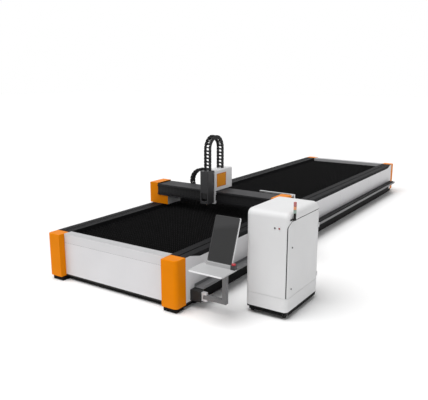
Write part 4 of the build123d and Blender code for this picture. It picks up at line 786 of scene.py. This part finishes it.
def rounded_outline(width, height, radius, inset):
    """Outline of a rectangle with round corners, drawn in by an inset: four quarter circles."""
    quarter = np.linspace(0, np.pi / 2, glass_corner)
    angle = np.concatenate([quarter + k * np.pi / 2 for k in range(4)])
    sign = np.repeat(np.array([(1, 1), (-1, 1), (-1, -1), (1, -1)]), glass_corner, axis=0)
    centre = sign * (np.array([width, height]) / 2 - radius)
    return centre + np.c_[np.cos(angle), np.sin(angle)] * (radius - inset)


def display_glass():
    """A rolled-edge plate: its outline drawn in and raised in steps, closed front and back."""
    size = np.array(screen_size) - 2 * screen_bezel
    middle = screen_middle + screen_up * screen_size[1] / 2
    rings = []
    for inset, rise in glass_steps:
        flat = rounded_outline(*size, screen_round, inset)
        rings.append(middle + flat[:, :1] * np.array(across_x) + flat[:, 1:] * screen_up
                     + rise * screen_out)
    points = np.concatenate(rings)
    count = 4 * glass_corner
    step = np.arange(count)
    after, ring = (step + 1) % count, np.arange(len(rings) - 1)[:, None] * count
    walls = np.stack([ring + step, ring + after, ring + after + count, ring + step + count], -1)
    return points, [walls.reshape(-1, 4), np.stack([step[::-1], step + len(points) - count])]


screen_case = Finish("screen_case_paint", Specular_IOR_Level=0.4)
case_tone = paint_coat(screen_case, case_white, roughness=0.4, mottle=0.015)
case_y = (screen_case.place("Y") - float(screen_middle[1])) * float(screen_out[1])
case_z = (screen_case.place("Z") - float(screen_middle[2])) * float(screen_out[2])
case_front = case_y + case_z > -screen_recess - face_slack
screen_case.set(Base_Color=screen_case.mix(case_front, case_tone, frame_dark))
dress(screen_case, "console_screen")
glass_dark = Finish("display_dark_glass", Specular_IOR_Level=0.4)
# Painted reflection: a lighter band slanting across the upper part of the dark glass.
glass_tilt = glass_dark.place("Z") - glass_dark.place("X") * band_slope
painted_reflection_band = ((glass_tilt - band_from) * band_gain).clamped()
glass_tone = glass_dark.mix(painted_reflection_band, glass_deep, reflection_pale)
glass_smear = glass_dark.noise(*smear_grain)
glass_dark.set(Base_Color=glass_tone, Roughness=glass_smear * smear_sheen + glass_base)
glass = mesh_piece("display_glass", *display_glass(), glass_dark)
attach(glass, "console")

# Supply cabinet: a white folded housing with a fine sprayed texture, a wrap-round side door
# and plain sheet casings inside. A dark band round the door's front and top edges is painted shade
# in its gap.
door_front, door_top, door_corner = -5.492, 1.690, 0.110
gap_middle, gap_half, door_side, door_foot, door_rear = 0.115, 0.0056, 3.10, 0.384, -4.31
cabinet_white, gap_painted_shade = (0.69, 0.69, 0.695), (0.05, 0.05, 0.052)
cabinet_paint = Finish("cabinet_white_paint", Specular_IOR_Level=0.4)
cabinet_tone = paint_coat(cabinet_paint, cabinet_white, roughness=0.45, mottle=0.015)
# Painted shade: a dark band in the door's gap, along its front edge, round its top corner and along
# its top edge.
gap_y = (door_front + door_corner - cabinet_paint.place("Y")).larger(0.0)
gap_z = (cabinet_paint.place("Z") - (door_top - door_corner)).larger(0.0)
gap_reach = abs((gap_y * gap_y + gap_z * gap_z).root() - gap_middle) < gap_half
gap_zone = ((cabinet_paint.place("X") > door_side) * (cabinet_paint.place("Z") > door_foot)
            * (cabinet_paint.place("Y") < door_rear))
cabinet_paint.set(Base_Color=cabinet_paint.mix(gap_reach * gap_zone, cabinet_tone, gap_painted_shade))
plain_sheet = metal("plain_sheet_casing", (0.50, 0.51, 0.52), roughness=0.45,
                    scale=30.0, stretch=(1.0, 1.0, 0.2), wear=0.15)
dress(cabinet_paint, "cabinet_shell", "cabinet_side_door")
dress(plain_sheet, "cabinet_internals")

# Door locks and push buttons: two cam locks in dark chrome, set in the door's outer face.
# One dark and one red button of moulded plastic slide in bores in the cabinet's front.
lock_chrome = metal("lock_dark_chrome", (0.16, 0.16, 0.165), roughness=0.3,
                    scale=80.0, stretch=(1.0, 1.0, 1.0), wear=0.2)
button_dark = moulded("button_dark_plastic", (0.06, 0.06, 0.062), roughness=0.35)
button_red = moulded("button_red_plastic", (0.32, 0.05, 0.04), roughness=0.35)
dress(lock_chrome, "door_lock_lower", "door_lock_upper")
dress(button_dark, "cabinet_button_a")
dress(button_red, "cabinet_button_b")

# Signal tower: three tinted lenses stacked on a black moulded stand, with dark rings between.
# A flat cap in the top lens's red plastic closes the stack.
lamp_low, lamp_high, _ = node_box("tower_lamps")
ring_black, lens_red = (0.012, 0.012, 0.012), (0.42, 0.13, 0.13)
lens_bands = [(0.0, (0.26, 0.35, 0.30)), (0.317, ring_black), (0.333, (0.70, 0.31, 0.15)),
              (0.650, ring_black), (0.667, lens_red)]
lens_rib, rib_strength, rib_relief = 0.004, 0.3, 0.001
lens_grain, lens_sheen, lens_base, stand_base = (40.0, 2.0), 0.1, 0.22, 0.4
stand_clouds, stand_deep, stand_pale = (12.0, 3.0), (0.006, 0.006, 0.006), (0.014, 0.014, 0.014)
lens_plastic = Finish("lens_tinted_plastic", Specular_IOR_Level=0.5)
lens_place = (lens_plastic.place("Z") - float(lamp_low[2])) / float(lamp_high[2] - lamp_low[2])
lens_tone = lens_plastic.node("ShaderNodeValToRGB", dict(stops=lens_bands), {0: lens_place})
lens_plastic.set(Base_Color=lens_tone)
lens_ribs = lens_plastic.place("Z").folded(lens_rib) * (1 / lens_rib)
lens_plastic.set(Roughness=lens_plastic.noise(*lens_grain) * lens_sheen + lens_base)
lens_plastic.set(Normal=lens_plastic.relief(lens_ribs, rib_strength, rib_relief))
dress(lens_plastic, "tower_lamps")
stand_black = Finish("stand_black_plastic", Specular_IOR_Level=0.2)
stand_grain = stand_black.mix(stand_black.noise(*stand_clouds), stand_deep, stand_pale)
stand_cap = stand_black.place("Z") > float(lamp_high[2]) - face_slack
stand_black.set(Base_Color=stand_black.mix(stand_cap, stand_grain, lens_red))
stand_black.set(Roughness=stand_black.noise(*lens_grain) * lens_sheen + stand_base)
stand_spark = stand_black.noise(*spark_grain)
stand_black.set(Normal=stand_black.relief(stand_spark, spark_strength, spark_depth))
dress(stand_black, "tower_stand")

# Casters: pressed steel forks in black zinc, which swivel on stems under the cabinet's base.
# Each holds a moulded rubber wheel on an axle.
corners = ("front_left", "front_right", "rear_left", "rear_right")
fork_black = metal("fork_black_zinc", (0.060, 0.060, 0.062), roughness=0.4,
                   scale=50.0, stretch=(1.0, 1.0, 1.0), wear=0.2)
tread_rubber = moulded("tread_rubber", (0.014, 0.014, 0.014), roughness=0.7, gloss=0.3)
dress(fork_black, *(f"caster_fork_{corner}" for corner in corners))
dress(tread_rubber, *(f"caster_wheel_{corner}" for corner in corners))
